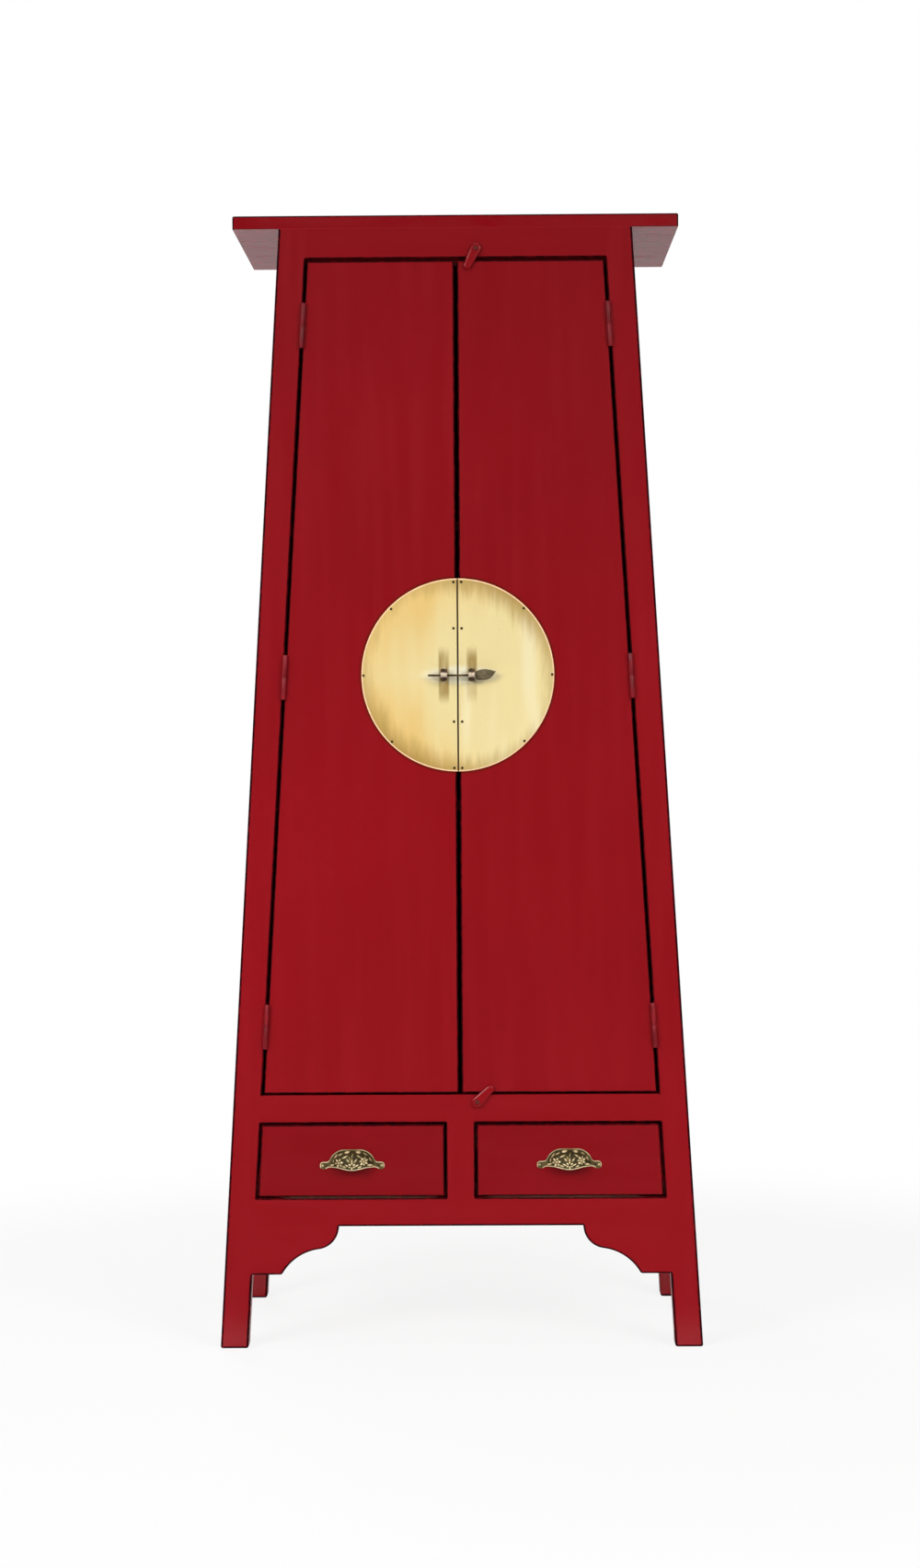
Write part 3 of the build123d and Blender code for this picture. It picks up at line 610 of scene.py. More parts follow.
board("top_board", "x", eased_strips=EASED_STRIP, finish=(TOP_RED, WORN_AND_SHADED["x"]))
for rail in ("top_rail", "middle_rail", "lower_rail"):
    board(rail, "x")
board("drawer_divider", "z")
for side in SIDES:
    board("front_leg_" + side, "z")
    board("rear_leg_" + side, "z")
    board("apron_bracket_" + side, "x")
    board("side_panel_" + side, "z", ease=EASE_INNER)
    board("side_top_rail_" + side, "y")
    board("side_lower_rail_" + side, "y")
    board("door_panel_" + side, "z", ease=EASE_LEAF, eased_strips=EASED_STRIP,
          finish=(DOOR_RED[side], WORN_AND_SHADED["z"]))
    board("door_battens_" + side, "x", ease=EASE_INNER)
    board("drawer_front_" + side, "x", ease=EASE_LEAF, eased_strips=EASED_STRIP,
          finish=(DRAWER_RED, WORN_AND_SHADED["x"]))
    for piece, grain in (("drawer_sides_", "y"), ("drawer_back_", "x"), ("drawer_bottom_", "x"),
                         ("drawer_runner_", "y"), ("floor_bearer_", "y")):
        board(piece + side, grain, EASE_INNER, finish=(WOOD[grain], WOOD[grain]))
for piece in ("back_top_rail", "back_middle_rail", "back_lower_rail", "cupboard_floor",
              "lower_shelf", "upper_shelf", "door_stop"):
    board(piece, "x", ease=EASE_INNER)
for piece, grain in (("back_panel", "z"), ("shelf_cleats", "y"), ("drawer_runner_centre", "y")):
    board(piece, grain, EASE_INNER, finish=(WOOD[grain], WOOD[grain]))

# ------------ shapes built point by point

def spot(x, depth, z):
    """A point from millimetres across, behind the front face and up."""
    return Vector((x * MM, FRONT + depth * MM, z * MM))


def add_face(bm, corners, material):
    corners = list(dict.fromkeys(corners))
    if len(corners) > 2:
        bm.faces.new(corners).material_index = material


def skin(bm, rings, material=0, ring=False):
    """Faces between loops of vertices, and from the last loop to the first if it is a ring."""
    for low, high in zip(rings, rings[1:] + (rings[:1] if ring else [])):
        count = max(len(low), len(high))
        for k in range(count):
            after = (k + 1) % count
            add_face(bm, (low[k % len(low)], low[after % len(low)],
                          high[after % len(high)], high[k % len(high)]), material)


def slab(bm, rows, columns, corner, rim_material=0):
    """A closed sheet of cells; corner(i, j) gives its front point, back point and front relief."""
    relief = bm.verts.layers.float.new("relief")
    corners = [[corner(i, j) for j in range(columns + 1)] for i in range(rows + 1)]

    def grid(face):
        made = [[bm.verts.new(points[face]) for points in row] for row in corners]
        for row, points in zip(made, corners):
            for vertex, (_, _, height) in zip(row, points):
                vertex[relief] = 0.0 if face else height
        return made

    near, far = grid(0), grid(1)
    for i in range(rows):
        for j in range(columns):
            cell = ((i, j), (i, j + 1), (i + 1, j + 1), (i + 1, j))
            add_face(bm, [near[a][b] for a, b in cell], 0)
            add_face(bm, [far[a][b] for a, b in reversed(cell)], 0)
    rim = ([(0, j) for j in range(columns)] + [(i, columns) for i in range(rows)]
           + [(rows, j) for j in range(columns, 0, -1)] + [(i, 0) for i in range(rows, 0, -1)])
    for (a, b), (c, d) in zip(rim, rim[1:] + rim[:1]):
        add_face(bm, (near[a][b], far[a][b], far[c][d], near[c][d]), rim_material)


def circle(bm, centre, axis, side, radius, turns):
    """Vertices round an axis, at angles from its side direction."""
    other = axis.cross(side)
    return [bm.verts.new(centre + (side * math.cos(a) + other * math.sin(a)) * radius * MM) for a in turns]


def lathe(bm, profile, origin, axis, segments=24, material=0, ring=False):
    """A turned shape from (along, radius) pairs in millimetres; a ring's profile closes on itself."""
    axis = Vector(axis).normalized()
    side = axis.orthogonal().normalized()
    circles = []
    for along, radius in profile:
        turns = [2 * math.pi * k / segments for k in range(segments if radius else 1)]
        circles.append(circle(bm, origin + axis * along * MM, axis, side, radius, turns))
    skin(bm, circles, material, ring)


def slotted_head(bm, origin, axis, radius, height, turn, material=0):
    """A screw head: a low turned disc that carries two domed halves with the slot between."""
    axis = Vector(axis).normalized()
    side = Matrix.Rotation(turn, 3, axis) @ axis.orthogonal().normalized()
    lathe(bm, [(0, 0), (0, radius), (height * 0.4, radius), (height * 0.55, radius * 0.96),
               (height * 0.55, 0)], origin, axis, 24, material)
    slot, steps = radius * 0.16, 12
    for sign in (1, -1):
        rings = []
        for reach, up in ((0.96, 0.5), (0.88, 0.8), (0.62, 1.0)):
            first = math.asin(slot / (radius * reach))
            turns = [sign * (first + (math.pi - 2 * first) * k / steps) for k in range(steps + 1)]
            rings.append(circle(bm, origin + axis * height * up * MM, axis, side, radius * reach, turns))
        skin(bm, rings, material)
        add_face(bm, rings[-1], material)
        add_face(bm, rings[0], material)


def finished(bm, node, slot, *materials):
    """Weld a point-by-point shape, and put it on its body."""
    bmesh.ops.remove_doubles(bm, verts=bm.verts, dist=FINE_WELD)
    place(node, finish_mesh(bm, node + "_dressed", materials, SMOOTH_SHAPE))


# ------------ round face plate

PLATE_Z = PLATE_CENTRE_Z / MM
PLATE_R = PLATE_RADIUS / MM
PLATE_EDGE_X = PLATE_HALF_GAP / MM
PLATE_THICKNESS = 1.2
# Rings of the rolled rim: in from the edge, sunk below the face.
RIM_RINGS = ((2.2, 0.0), (1.9, 0.05), (0.7, 0.06), (0.25, 0.20), (0.05, 0.55), (0.0, 0.95))
NAIL_SPOTS = ((158.0, 0.0), (111.0, 111.0), (111.0, -111.0), (6.6, 155.5), (6.6, -155.5),
              (6.8, 78.0), (6.8, -78.0))     # across and up from the plate's centre
NAIL_PROFILE = ((-0.6, 0), (-0.6, 1.9), (0.0, 2.3), (0.35, 2.2), (0.75, 1.6), (0.98, 0.8), (1.03, 0))


def face_plate(side):
    """Half of the round plate, faintly hammered, with a rolled rim and domed nails."""
    sign = 1 if side == "right" else -1
    spokes, circles = 96, 20
    rim_width = RIM_RINGS[0][0]

    def corner(i, j):
        angle = math.pi * (i / spokes - 0.5)
        across, upward = math.cos(angle), math.sin(angle)
        reach = math.sqrt(PLATE_R ** 2 - (PLATE_EDGE_X * upward) ** 2) - PLATE_EDGE_X * across
        inset, sunk = RIM_RINGS[max(0, j - circles)]
        along = (reach - rim_width) * j / circles if j < circles else reach - inset
        x, z = sign * (PLATE_EDGE_X + along * across), PLATE_Z + along * upward
        if j < circles:
            sunk = 0.16 * (0.5 + 0.5 * noise.noise(Vector((x * 0.030, z * 0.018, 3.0 * sign))))
        return spot(x, sunk - PLATE_THICKNESS, z), spot(x, 0.0, z), 0.0

    bm = bmesh.new()
    slab(bm, spokes, circles + len(RIM_RINGS) - 1, corner, 1)
    for face in bm.faces:
        middle = face.calc_center_median()
        # Faces of the rim take the pale rim material, a painted highlight.
        if math.hypot(middle.x / MM, middle.z / MM - PLATE_Z) > PLATE_R - rim_width:
            face.material_index = 1
    for x, z in NAIL_SPOTS:
        lathe(bm, NAIL_PROFILE, spot(sign * x, -PLATE_THICKNESS + 0.08, PLATE_Z + z), (0, -1, 0), 16, 2)
    finished(bm, "face_plate_" + side, "plate_brass", PLATE, RIM_PAINTED_HIGHLIGHT, NAIL)


# ------------ latch eyes, nuts and pin

EYE_MIDDLE = (EYE_AXIS_Y - FRONT) / MM       # depth of the eyes' bores, before the front face
EYE_R = EYE_RADIUS / MM
EYE_HALF = EYE_WIDTH / MM / 2
BORE, STEM, SHANK = 2.5, 5.0, 3.0            # radii
NUT_LOW, NUT_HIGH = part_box("latch_eye_nut_right")
NUT_CHAMFER = 0.55


def eye_x(side):
    return EYE_X / MM if side == "right" else -EYE_X / MM


def thread_profile(start, end, pitch=1.0, root=0.42):
    """Threads as rings between two depths along a shank, with a chamfered end."""
    profile = []
    along = start
    while along < end - 1.0:
        profile += [(along, SHANK), (along + pitch / 2, SHANK - root)]
        along += pitch
    return profile + [(end - 0.7, SHANK), (end, SHANK - 0.7), (end, 0)]


def latch_eye(side):
    """Crowned ring with a bead at each edge, a waisted stem with a rose, and a threaded shank."""
    middle = spot(eye_x(side), EYE_MIDDLE, PLATE_Z)
    half, out = EYE_HALF, EYE_R
    profile = [(-half + 0.7, BORE), (-half, BORE + 0.8), (-half, out - 1.3), (-half + 0.4, out - 0.6),
               (-half + 1.1, out - 0.3), (-half + 1.7, out - 0.8), (-half + 2.1, out - 0.9),
               (-half + 2.6, out - 0.5), (-half + 3.6, out - 0.1), (0, out)]
    profile += [(-along, radius) for along, radius in reversed(profile[:-1])]
    bm = bmesh.new()
    lathe(bm, profile, middle, (1, 0, 0), 56, 0, ring=True)
    base = -PLATE_THICKNESS - EYE_MIDDLE     # the stem's rose sits on the plate
    stem = [(BORE + 1.5, 0), (BORE + 1.5, STEM - 0.6), (base - 3.2, STEM - 0.9), (base - 1.8, STEM - 0.2),
            (base - 0.9, STEM + 1.6), (base - 0.3, STEM + 2.2), (base, STEM + 2.2), (base, SHANK)]
    threads = thread_profile(base + 1.4, (EYE_HIGH.y - EYE_AXIS_Y) / MM)
    lathe(bm, stem + threads, middle, (0, 1, 0), 28)
    finished(bm, "latch_eye_" + side, "dark_bronze", PAINTED_HIGHLIGHT_BRONZE)


def latch_eye_nut(side):
    """Hexagon nut, its outer corners chamfered round."""
    corner = (NUT_HIGH.x - NUT_LOW.x) / 2 / MM
    flat = corner * math.cos(math.pi / 6)
    thickness = (NUT_HIGH.y - NUT_LOW.y) / MM
    bore = SHANK + 0.12
    count = 48
    bm = bmesh.new()
    rings = []
    for widest, along in ((bore, 0.0), (corner, 0.0), (corner, thickness - NUT_CHAMFER),
                          (flat + 0.05, thickness), (bore, thickness)):
        rings.append([])
        for k in range(count):
            angle = 2 * math.pi * k / count
            hexagon = flat / math.cos((angle + math.pi / 6) % (math.pi / 3) - math.pi / 6)
            radius = min(hexagon, widest)
            point = spot(eye_x(side) + radius * math.cos(angle), 0, PLATE_Z + radius * math.sin(angle))
            point.y = NUT_LOW.y + along * MM
            rings[-1].append(bm.verts.new(point))
    skin(bm, rings, ring=True)
    finished(bm, "latch_eye_nut_" + side, "steel", STEEL)


PIN_LOW, PIN_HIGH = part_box("latch_pin")
ROD = 1.75                                   # radius
ROD_DROP = BORE - ROD - 0.06                 # the rod rests low in the bores
BLADE_START = 30.2
BLADE_LENGTH = PIN_HIGH.x / MM - BLADE_START
BLADE_HALF, BLADE_RIM_HALF = 1.2, 0.28       # half the thickness, in the middle and at the rim


def blade_edges(share):
    """Lower and upper edge of the blade, from its root to its tip, above the rod's axis."""
    upper = 7.2 + 3.0 * math.sin(math.pi * min(share / 0.9, 1.0)) ** 1.2
    rise = max(0.0, (share - 0.45) / 0.55)
    lower = -7.6 + 14.8 * rise ** 2.2
    root = min(1.0, share / 0.10)
    return lower * (0.86 + 0.14 * root), upper * (0.90 + 0.10 * root)


def latch_pin():
    """Rod with a rounded tail and a collar, and a hammered leaf-shaped blade to hold it by."""
    bm = bmesh.new()
    axis_z = PLATE_Z - ROD_DROP
    start = spot(PIN_LOW.x / MM, EYE_MIDDLE, axis_z)
    length = BLADE_START - PIN_LOW.x / MM
    lathe(bm, [(0, 0), (0.12, 0.8), (0.5, 1.35), (1.2, ROD - 0.1), (2.0, ROD), (length - 0.6, ROD),
               (length + 4.0, ROD), (length + 7.0, 1.1), (length + 9.0, 0)], start, (1, 0, 0), 20)
    near, far = length - 1.1, length - 0.2
    lathe(bm, [(near, 0), (near, 2.6), (near + 0.2, 3.0), (far - 0.2, 3.0), (far, 2.6), (far, 0)],
          start, (1, 0, 0), 24, 2)
    rows, columns = 44, 14

    def corner(i, j):
        share, across = i / rows, j / columns
        low, high = blade_edges(share)
        x, z = BLADE_START + BLADE_LENGTH * share, axis_z + low + (high - low) * across
        thin = (1 - abs(2 * across - 1) ** 5) * (1 - max(0.0, (share - 0.86) / 0.14) ** 2)
        thin *= min(1.0, 0.35 + share / 0.05)
        dent = 0.12 * noise.noise(Vector((x * 0.35, z * 0.35, 1.0)))
        half = BLADE_RIM_HALF + (BLADE_HALF - BLADE_RIM_HALF) * thin
        return spot(x, EYE_MIDDLE - half + 0.12 + dent, z), spot(x, EYE_MIDDLE + half - 0.05, z), 0.0

    slab(bm, rows, columns, corner)
    for face in bm.faces:
        if face.calc_center_median().x > (BLADE_START - 0.15) * MM:
            face.material_index = 1
    finished(bm, "latch_pin", "dark_bronze", BRONZE, BLADE, PAINTED_HIGHLIGHT_BRONZE)


# ------------ cup pulls

PULL_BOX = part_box("cup_pull_right")
PULL_X = (PULL_BOX[0].x + PULL_BOX[1].x) / 2 / MM
PULL_HALF = (PULL_BOX[1].x - PULL_BOX[0].x) / 2 / MM
PULL_FOOT = PULL_BOX[0].z / MM               # the ears' lower edge
PULL_SHOULDER, PULL_ARCH = 12.5, 27.0        # middles of the arch's shoulders, and their radius
PULL_TOP = 33.2                              # top of the arch above the ears' lower edge
ARCH_MIDDLE = PULL_TOP - PULL_ARCH
PULL_OUT = (FRONT - PULL_BOX[0].y) / MM      # lip before the drawer front
PULL_WALL, PULL_FLANGE, FLANGE_WIDTH = 2.4, 2.2, 2.8
LIP_MIDDLE, LIP_CREST, LIP_WAVE = 0.5, 4.2, 14.0
EAR_HEIGHT, EAR_ROUNDING, EAR_FILLET = 12.6, 5.6, 6.0
# The dome is what a ball and a level bar share, both PULL_OUT before the front at the lip.
BALL_R = 42.8
BALL_BEHIND = math.sqrt(BALL_R ** 2 - LIP_MIDDLE ** 2) - PULL_OUT
BAR_FOOT = PULL_ARCH - FLANGE_WIDTH
BAR_BEHIND = (BAR_FOOT ** 2 - (LIP_MIDDLE - ARCH_MIDDLE) ** 2 - PULL_OUT ** 2) / (2 * PULL_OUT)
BAR_R = math.hypot(BAR_FOOT, BAR_BEHIND)


def blossom(across, up, reach, petals, turn):
    """Petals round a bead, which comes first."""
    made = [(across, up, reach * 0.22, reach * 0.22, 0, 1.0)]
    for k in range(petals):
        angle = turn + 360 * k / petals
        made.append((across + 0.62 * reach * math.cos(math.radians(angle)),
                     up + 0.62 * reach * math.sin(math.radians(angle)),
                     0.40 * reach, 0.24 * reach, angle, 0.95 - 0.2 * (k % 2)))
    return made


# Leaves and petals cast on the dome: middle across and up, half length, half width, turn, height.
ORNAMENT = (blossom(-22.0, 12.6, 8.0, 6, 12) + blossom(20.0, 15.2, 7.8, 7, 20)
            + blossom(0.3, 8.6, 6.6, 6, 30)[1:]) + [
    (0.2, 16.4, 4.2, 1.9, 90, 0.70), (-6.4, 17.0, 4.6, 1.7, 130, 0.75), (6.4, 17.0, 4.6, 1.7, 50, 0.75),
    (-8.2, 9.0, 4.2, 1.5, 155, 0.80), (8.2, 9.0, 4.2, 1.5, 25, 0.80), (-12.0, 22.4, 6.0, 1.6, 24, 0.70),
    (-8.4, 29.4, 5.0, 1.6, 8, 1.00), (10.4, 29.4, 5.2, 1.7, -8, 1.00), (0.6, 24.6, 4.4, 1.2, 75, 0.55),
    (-27.4, 22.4, 5.4, 1.5, 52, 0.75), (-19.6, 26.0, 5.4, 1.3, 30, 0.65), (22.4, 26.2, 5.0, 1.3, 148, 0.60),
    (-33.6, 8.0, 4.6, 1.6, 22, 0.85), (-12.6, 6.8, 4.6, 1.4, 165, 0.75), (13.2, 6.6, 4.2, 1.4, 15, 0.75),
    (30.2, 8.4, 5.4, 1.9, 170, 1.00), (30.6, 17.2, 5.0, 1.4, 122, 0.70), (12.0, 23.4, 4.6, 1.4, 150, 0.65),
    (-3.8, 20.6, 3.6, 1.1, 110, 0.55), (36.0, 6.2, 2.8, 1.2, 150, 0.65), (-31.6, 14.6, 3.6, 1.3, 78, 0.70),
]
ORNAMENT_HEIGHT = 1.3
BLOSSOM_EYE = (0.3, 8.6, 1.9)                # hollow in the middle blossom: across, up, radius
EAR_BOSS = (50.0, 6.4, 3.4)                  # cast boss at each ear's end
EAR_SCREW = (43.6, 6.6)                      # screw in each ear: across, up
BEAD_ON_DOME, BEAD_ON_EARS = 0.55, 0.6       # height of the beads


def ornament(u, w):
    """Height of the casting's ornament, 0 to 1, at a spot of the dome."""
    best = 0.0
    for across, up, length, width, turn, height in ORNAMENT:
        du, dw = u - across, w - up
        cosine, sine = math.cos(math.radians(turn)), math.sin(math.radians(turn))
        along, aside = (du * cosine + dw * sine) / length, -du * sine + dw * cosine
        if abs(along) >= 1:
            continue
        half = width * (1 - along ** 2) ** 0.7
        if abs(aside) < half:
            lift = (1 - (aside / half) ** 2) ** 0.6 * (1 - 0.35 * abs(along))
            vein = 0.30 * math.exp(-(aside / 0.42) ** 2) * (width > 1.6)
            best = max(best, height * (lift - vein))
    return best


def dimple(u, w, shape):
    """Share of a round dimple or boss, given as across, up and radius, at a spot."""
    across, up, radius = shape
    return max(0.0, 1 - (math.hypot(u - across, w - up) / radius) ** 2)


def bump_at(value, middle, half):
    """1 at the middle of a bead, falling to 0 at half its width."""
    return max(0.0, 1 - ((value - middle) / half) ** 2)


def lip_height(u):
    """The dome's lower edge above the ears' lower edge."""
    u = abs(u)
    turn = (LIP_MIDDLE + LIP_CREST) / 2
    swing = (LIP_CREST - LIP_MIDDLE) / 2
    if u < 3 * LIP_WAVE:
        return turn - swing * math.cos(math.pi * u / (2 * LIP_WAVE))
    share = min(1.0, (u - 3 * LIP_WAVE) / 5.0)
    return turn * (1 - share) ** 2


def ear_round(u):
    """How far the rounding takes an ear's edge in, near its end."""
    past = max(0.0, abs(u) - PULL_HALF + EAR_ROUNDING)
    return EAR_ROUNDING - math.sqrt(max(0.0, EAR_ROUNDING ** 2 - past ** 2))


def arch_height(u):
    """Upper edge of the arch and the ears above the ears' lower edge."""
    # The fillet between arch and ear touches both: its centre lies outside them by its radius.
    centre_w = EAR_HEIGHT + EAR_FILLET
    span = math.sqrt((PULL_ARCH + EAR_FILLET) ** 2 - (centre_w - ARCH_MIDDLE) ** 2)
    touch = span * PULL_ARCH / (PULL_ARCH + EAR_FILLET)
    aside = max(0.0, abs(u) - PULL_SHOULDER)
    if aside <= touch:
        return ARCH_MIDDLE + math.sqrt(PULL_ARCH ** 2 - aside ** 2)
    if aside < span:
        return centre_w - math.sqrt(EAR_FILLET ** 2 - (aside - span) ** 2)
    return EAR_HEIGHT - ear_round(u)


def rounded(inside, behind):
    return math.sqrt(inside) - behind if inside > 0 else -behind


def dome_height(u, w):
    """The dome above the drawer front, its ball and bar blended where they meet."""
    ball = rounded(BALL_R ** 2 - u ** 2 - w ** 2, BALL_BEHIND)
    bar = rounded(BAR_R ** 2 - (w - ARCH_MIDDLE) ** 2, BAR_BEHIND)
    blend = 3.0
    overlap = max(0.0, blend - abs(ball - bar)) / blend
    return max(0.0, min(ball, bar) - overlap ** 2 * blend / 4 * min(1.0, w / 8))


def hollow_height(u, w):
    """The hollow behind the dome: a cone under the ball, cut by a smaller bar."""
    top = math.sqrt(BALL_R ** 2 - PULL_TOP ** 2) - PULL_WALL
    radius = BALL_R - PULL_WALL + (top - BALL_R + PULL_WALL) * w / PULL_TOP
    bar = rounded((BAR_R - PULL_WALL) ** 2 - (w - ARCH_MIDDLE) ** 2, BAR_BEHIND)
    return max(0.0, min(rounded(radius ** 2 - u ** 2, BALL_BEHIND), bar))


def pull_surface(u, w, foot, top):
    """Height and relief of the pull's front at a spot."""
    dome = dome_height(u, w)
    on_dome = dome > PULL_FLANGE
    cast, hollow = ornament(u, w), dimple(u, w, BLOSSOM_EYE)
    lip = bump_at(w, foot + 0.9, 0.95) * (abs(u) < 45)
    edge = bump_at(w, top - 0.7, 0.8) * (0.62 + 0.38 * min(1.0, abs(u) / 22))
    end = 0.85 * bump_at(abs(u), PULL_HALF - 1.0, 1.0)
    framing = max(lip, edge, end, 0.70 * dimple(abs(u), w, EAR_BOSS))
    height = max(dome - BEAD_ON_DOME, PULL_FLANGE - BEAD_ON_EARS)
    if on_dome:
        height += (cast - 0.5 * hollow) * ORNAMENT_HEIGHT * min(1.0, (dome - PULL_FLANGE) / 4.0)
        return height + BEAD_ON_DOME * framing, max(0.09 + 0.91 * cast - 0.9 * hollow, framing)
    return height + BEAD_ON_EARS * framing, max(0.22, framing)


def cup_pull(side):
    """Hollow cast pull: dome, flange and ears in one shell, with beads and ornament."""
    sign = 1 if side == "right" else -1
    middle = sign * PULL_X
    columns, rows = 180, 54

    def corner(i, j):
        u = PULL_HALF * (2 * i / columns - 1)
        foot = ear_round(u)
        if abs(u) < PULL_HALF - EAR_ROUNDING:
            foot = max(lip_height(u), foot)
        top = max(arch_height(u), foot)
        w = foot + (top - foot) * j / rows
        height, shown = pull_surface(u, w, foot, top)
        inner = min(hollow_height(u, w), height - 0.8)
        return spot(middle + u, -height, PULL_FOOT + w), spot(middle + u, -inner, PULL_FOOT + w), shown

    bm = bmesh.new()
    slab(bm, columns, rows, corner)
    across, up = EAR_SCREW
    for end in (-1, 1):
        slotted_head(bm, spot(middle + end * across, -PULL_FLANGE + 0.9, PULL_FOOT + up), (0, -1, 0),
                     2.3, 1.5, 0.6 * end + 0.3 * sign, 1)
    finished(bm, "cup_pull_" + side, "antique_bronze", CASTING, BRONZE)


# ------------ turn-buttons and their screws

BUTTON_HEAD, BUTTON_TIP, BUTTON_CENTRES = 9.0, 6.5, 31.0
BUTTON_BACK, BUTTON_THICKNESS = -0.8, 7.0
SCREW_HEAD_RADIUS, SCREW_HEAD_HEIGHT = 4.2, 1.6
BUTTONS = {                                  # pivot across, pivot up, turn in degrees
    "top": (34.0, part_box("top_rail")[0].z / MM + 14.5, -116.6),
    "foot": (28.5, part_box("middle_rail")[1].z / MM - 12.0, 45.0),
}
BUTTON_RINGS = ((1.0, 0.0), (1.0, 0.30), (1.0, 0.58), (0.975, 0.72), (0.91, 0.84), (0.80, 0.92),
                (0.62, 0.965), (0.40, 0.985), (0.0, 1.0))  # share from the spine, share of thickness


def button_outline():
    """Points round the button from its pivot, each with the nearest point of its spine."""
    slope = math.asin((BUTTON_HEAD - BUTTON_TIP) / BUTTON_CENTRES)

    def arc(centre, radius, first, sweep, count):
        turns = [first + sweep * k / count for k in range(count + 1)]
        return [(Vector((centre + radius * math.cos(a), radius * math.sin(a))), Vector((centre, 0.0)))
                for a in turns]

    def straight(start, end, count=12):
        return [[a.lerp(b, k / count) for a, b in zip(start, end)] for k in range(1, count)]

    head = arc(0.0, BUTTON_HEAD, math.pi / 2 - slope, math.pi + 2 * slope, 32)
    tip = arc(BUTTON_CENTRES, BUTTON_TIP, slope - math.pi / 2, math.pi - 2 * slope, 24)
    return head + straight(head[-1], tip[0]) + tip + straight(tip[-1], head[0])


def turn_button(name):
    """Tear-shaped button, rounded over its edges and dished round the screw."""
    x, z, turn = BUTTONS[name]
    bm = bmesh.new()
    rings = []
    facing = Matrix.Rotation(math.radians(-turn), 3, "Y")
    for share, height in BUTTON_RINGS:
        rings.append([])
        for point, spine in button_outline():
            u, w = spine.lerp(point, share)
            dish = 0.9 * max(0.0, 1 - math.hypot(u, w) / 6.5) * (height > 0.8)
            local = Vector((u * MM, -(BUTTON_THICKNESS * height - dish) * MM, w * MM))
            rings[-1].append(bm.verts.new(spot(x, BUTTON_BACK, z) + facing @ local))
    skin(bm, rings)
    add_face(bm, rings[0], 0)
    finished(bm, "turn_button_" + name, "red_lacquer", BUTTON_RED)


def turn_button_screws():
    """Slotted screws, their heads sunk a little into the buttons."""
    bm = bmesh.new()
    sunk = 0.3
    seat = BUTTON_BACK - BUTTON_THICKNESS + sunk
    for x, z, turn in BUTTONS.values():
        slotted_head(bm, spot(x, seat, z), (0, -1, 0), SCREW_HEAD_RADIUS, SCREW_HEAD_HEIGHT + sunk,
                     math.radians(turn))
        lathe(bm, [(0, 0), (0, 2.0), (-seat + 18, 2.0), (-seat + 22, 0)], spot(x, seat, z), (0, 1, 0), 16)
    finished(bm, "turn_button_screws", "painted_hinge_metal", PAINTED_SCREW)


# ------------ hardware in place

plain_piece("hinge_frame_leaves", HINGE, 0.5 * MM)
plain_piece("hinge_pins", HINGE, 0.4 * MM)
for side in SIDES:
    plain_piece("door_hinge_leaves_" + side, HINGE, 0.5 * MM)
    face_plate(side)
    latch_eye(side)
    latch_eye_nut(side)
    cup_pull(side)
latch_pin()
for name in BUTTONS:
    turn_button(name)
turn_button_screws()


# ------------ studio

WHITE = (1.0, 1.0, 1.0)
FLOOR_COLOUR = (0.93, 0.93, 0.93)
FLOOR_HALF = 20.0
FLOOR_NEAR = 1.0             # the floor keeps its shadow out to here
FLOOR_FAR = 1.9              # and is plain white beyond
FLOOR_PALE = 0.84            # share of plain white near the object
PAPER_FRONT = (-0.24, -0.50)      # in a reflection the floor's paper ends here, before the cabinet
PAPER_BACK = (1.5, 4.0)           # and runs up here into the room behind
FRONT_DIM = 0.05             # how bright the room in front looks in a reflection
BACK_BRIGHT = 0.46           # and the room behind
WORLD_LIGHT = 0.23           # what the world gives every other surface


def studio_floor():
    """Pale floor with a soft shadow, plain white further out."""
    mesh = bpy.data.meshes.new("studio_floor")
    mesh.from_pydata([(-FLOOR_HALF, -FLOOR_HALF, 0), (FLOOR_HALF, -FLOOR_HALF, 0),
                      (FLOOR_HALF, FLOOR_HALF, 0), (-FLOOR_HALF, FLOOR_HALF, 0)], [], [(0, 1, 2, 3)])
    floor = add_object("studio_floor", mesh)
    s = Shader("studio_floor")
    s.set(Base_Color=FLOOR_COLOUR, Roughness=0.9, Specular_IOR_Level=0.0)

    def glow(strength):
        made = s.node("Emission")
        s.feed(made, {"Strength": strength})
        return s.result(made)

    x, y, _ = s.split(s.place)
    far = s.between(s.math("SQRT", x * x + y * y), FLOOR_NEAR, FLOOR_FAR, FLOOR_PALE, 1.0)
    seen = s.mixed(far * s.ray("Camera"), s.result(s.surface), glow(1.0))
    in_front = s.between(y, *PAPER_FRONT)
    room = s.mixed(in_front, glow(BACK_BRIGHT), glow(FRONT_DIM))
    away = s.math("MAXIMUM", in_front, s.between(y, *PAPER_BACK))
    s.feed(s.output, {"Surface": s.mixed(away * s.ray("Glossy"), seen, room)})
    mesh.materials.append(s.material)


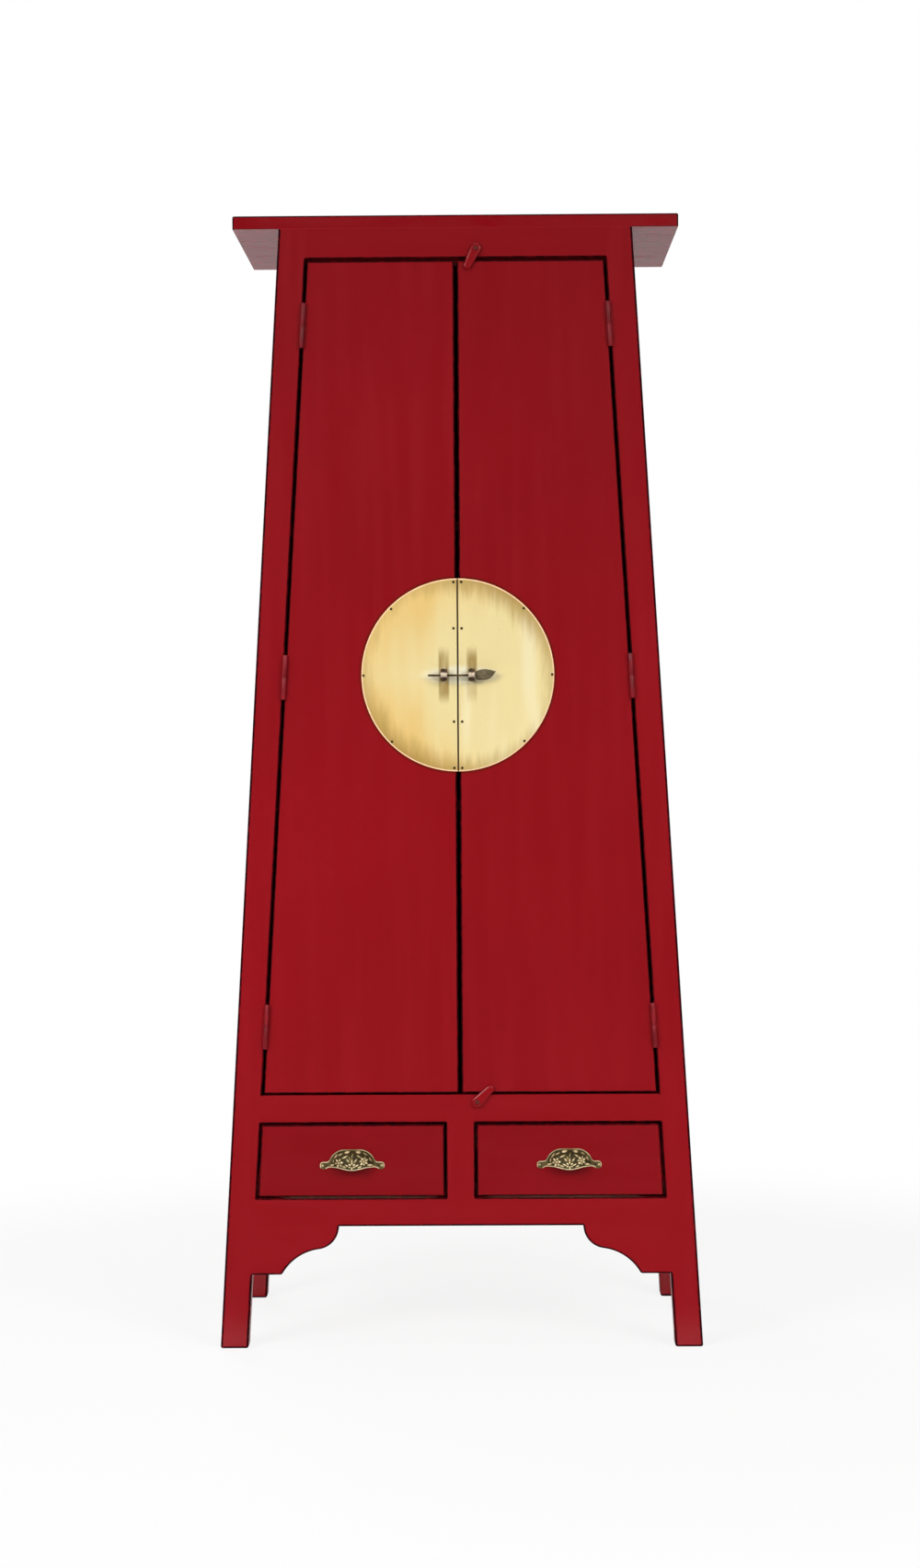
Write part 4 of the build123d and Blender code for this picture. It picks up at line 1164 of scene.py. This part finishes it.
def studio_world():
    """White to the camera; softer light on the object, dim in front and paler behind in reflections."""
    world = bpy.data.worlds.new("studio")
    bpy.context.scene.world = world
    world.use_nodes = True
    s = Nodes(world.node_tree)
    _, forward, _ = s.split(s.result(s.node("TexCoord"), "Generated"))
    mirrored = s.between(forward, -0.25, 0.45, FRONT_DIM, BACK_BRIGHT)
    lit, reflected, seen = (s.result(s.node("Background", WHITE, strength))
                            for strength in (WORLD_LIGHT, mirrored, 1.0))
    sides = s.mixed(s.ray("Glossy"), lit, reflected)
    s.node("OutputWorld", s.mixed(s.ray("Camera"), sides, seen))


def softbox(name, stand, target, width, height, power, beam=180):
    """A soft lamp aimed at a target, its beam in degrees."""
    data = bpy.data.lights.new(name, "AREA")
    data.shape = "RECTANGLE"
    data.size = width
    data.size_y = height
    data.energy = power
    data.spread = math.radians(beam)
    lamp = add_object(name, data)
    lamp.location = stand
    lamp.rotation_euler = (Vector(target) - Vector(stand)).to_track_quat("-Z", "Y").to_euler()


studio_floor()
studio_world()
softbox("key_light", (-2.6, -3.4, 2.4), (0.0, 0.0, 0.0), 2.0, 1.6, 22.5, 77)
softbox("fill_light", (2.4, -3.4, 2.4), (0.0, 0.0, 0.0), 2.0, 1.6, 17.5, 77)
softbox("top_light", (0.2, -0.6, 4.2), (0.0, 0.0, 0.0), 2.6, 2.6, 20)
softbox("back_light", (-1.6, 3.4, 2.4), (0.0, 0.0, 0.8), 2.0, 2.0, 56)

# ------------ camera, fitted to the photo's edges

CAMERA_SPOT = Vector((0.04719, -5.03894, 1.08557))
CAMERA_YAW = -0.009237       # radians, towards +X
CAMERA_PITCH = -0.027985     # upwards
CAMERA_ROLL = -0.00596
FOCAL_PIXELS = 3131.0
PICTURE_HEIGHT = 1704        # pixels
SENSOR_HEIGHT = 24.0         # millimetres


def photo_camera():
    data = bpy.data.cameras.new("photo_camera")
    data.sensor_fit = "VERTICAL"
    data.sensor_height = SENSOR_HEIGHT
    data.lens = FOCAL_PIXELS / PICTURE_HEIGHT * SENSOR_HEIGHT
    camera = add_object("photo_camera", data)
    turn = (Matrix.Rotation(-CAMERA_YAW, 4, "Z") @ Matrix.Rotation(math.pi / 2 + CAMERA_PITCH, 4, "X")
            @ Matrix.Rotation(CAMERA_ROLL, 4, "Z"))
    camera.matrix_world = Matrix.Translation(CAMERA_SPOT) @ turn
    bpy.context.scene.camera = camera


photo_camera()
bpy.context.scene.view_settings.view_transform = "Standard"
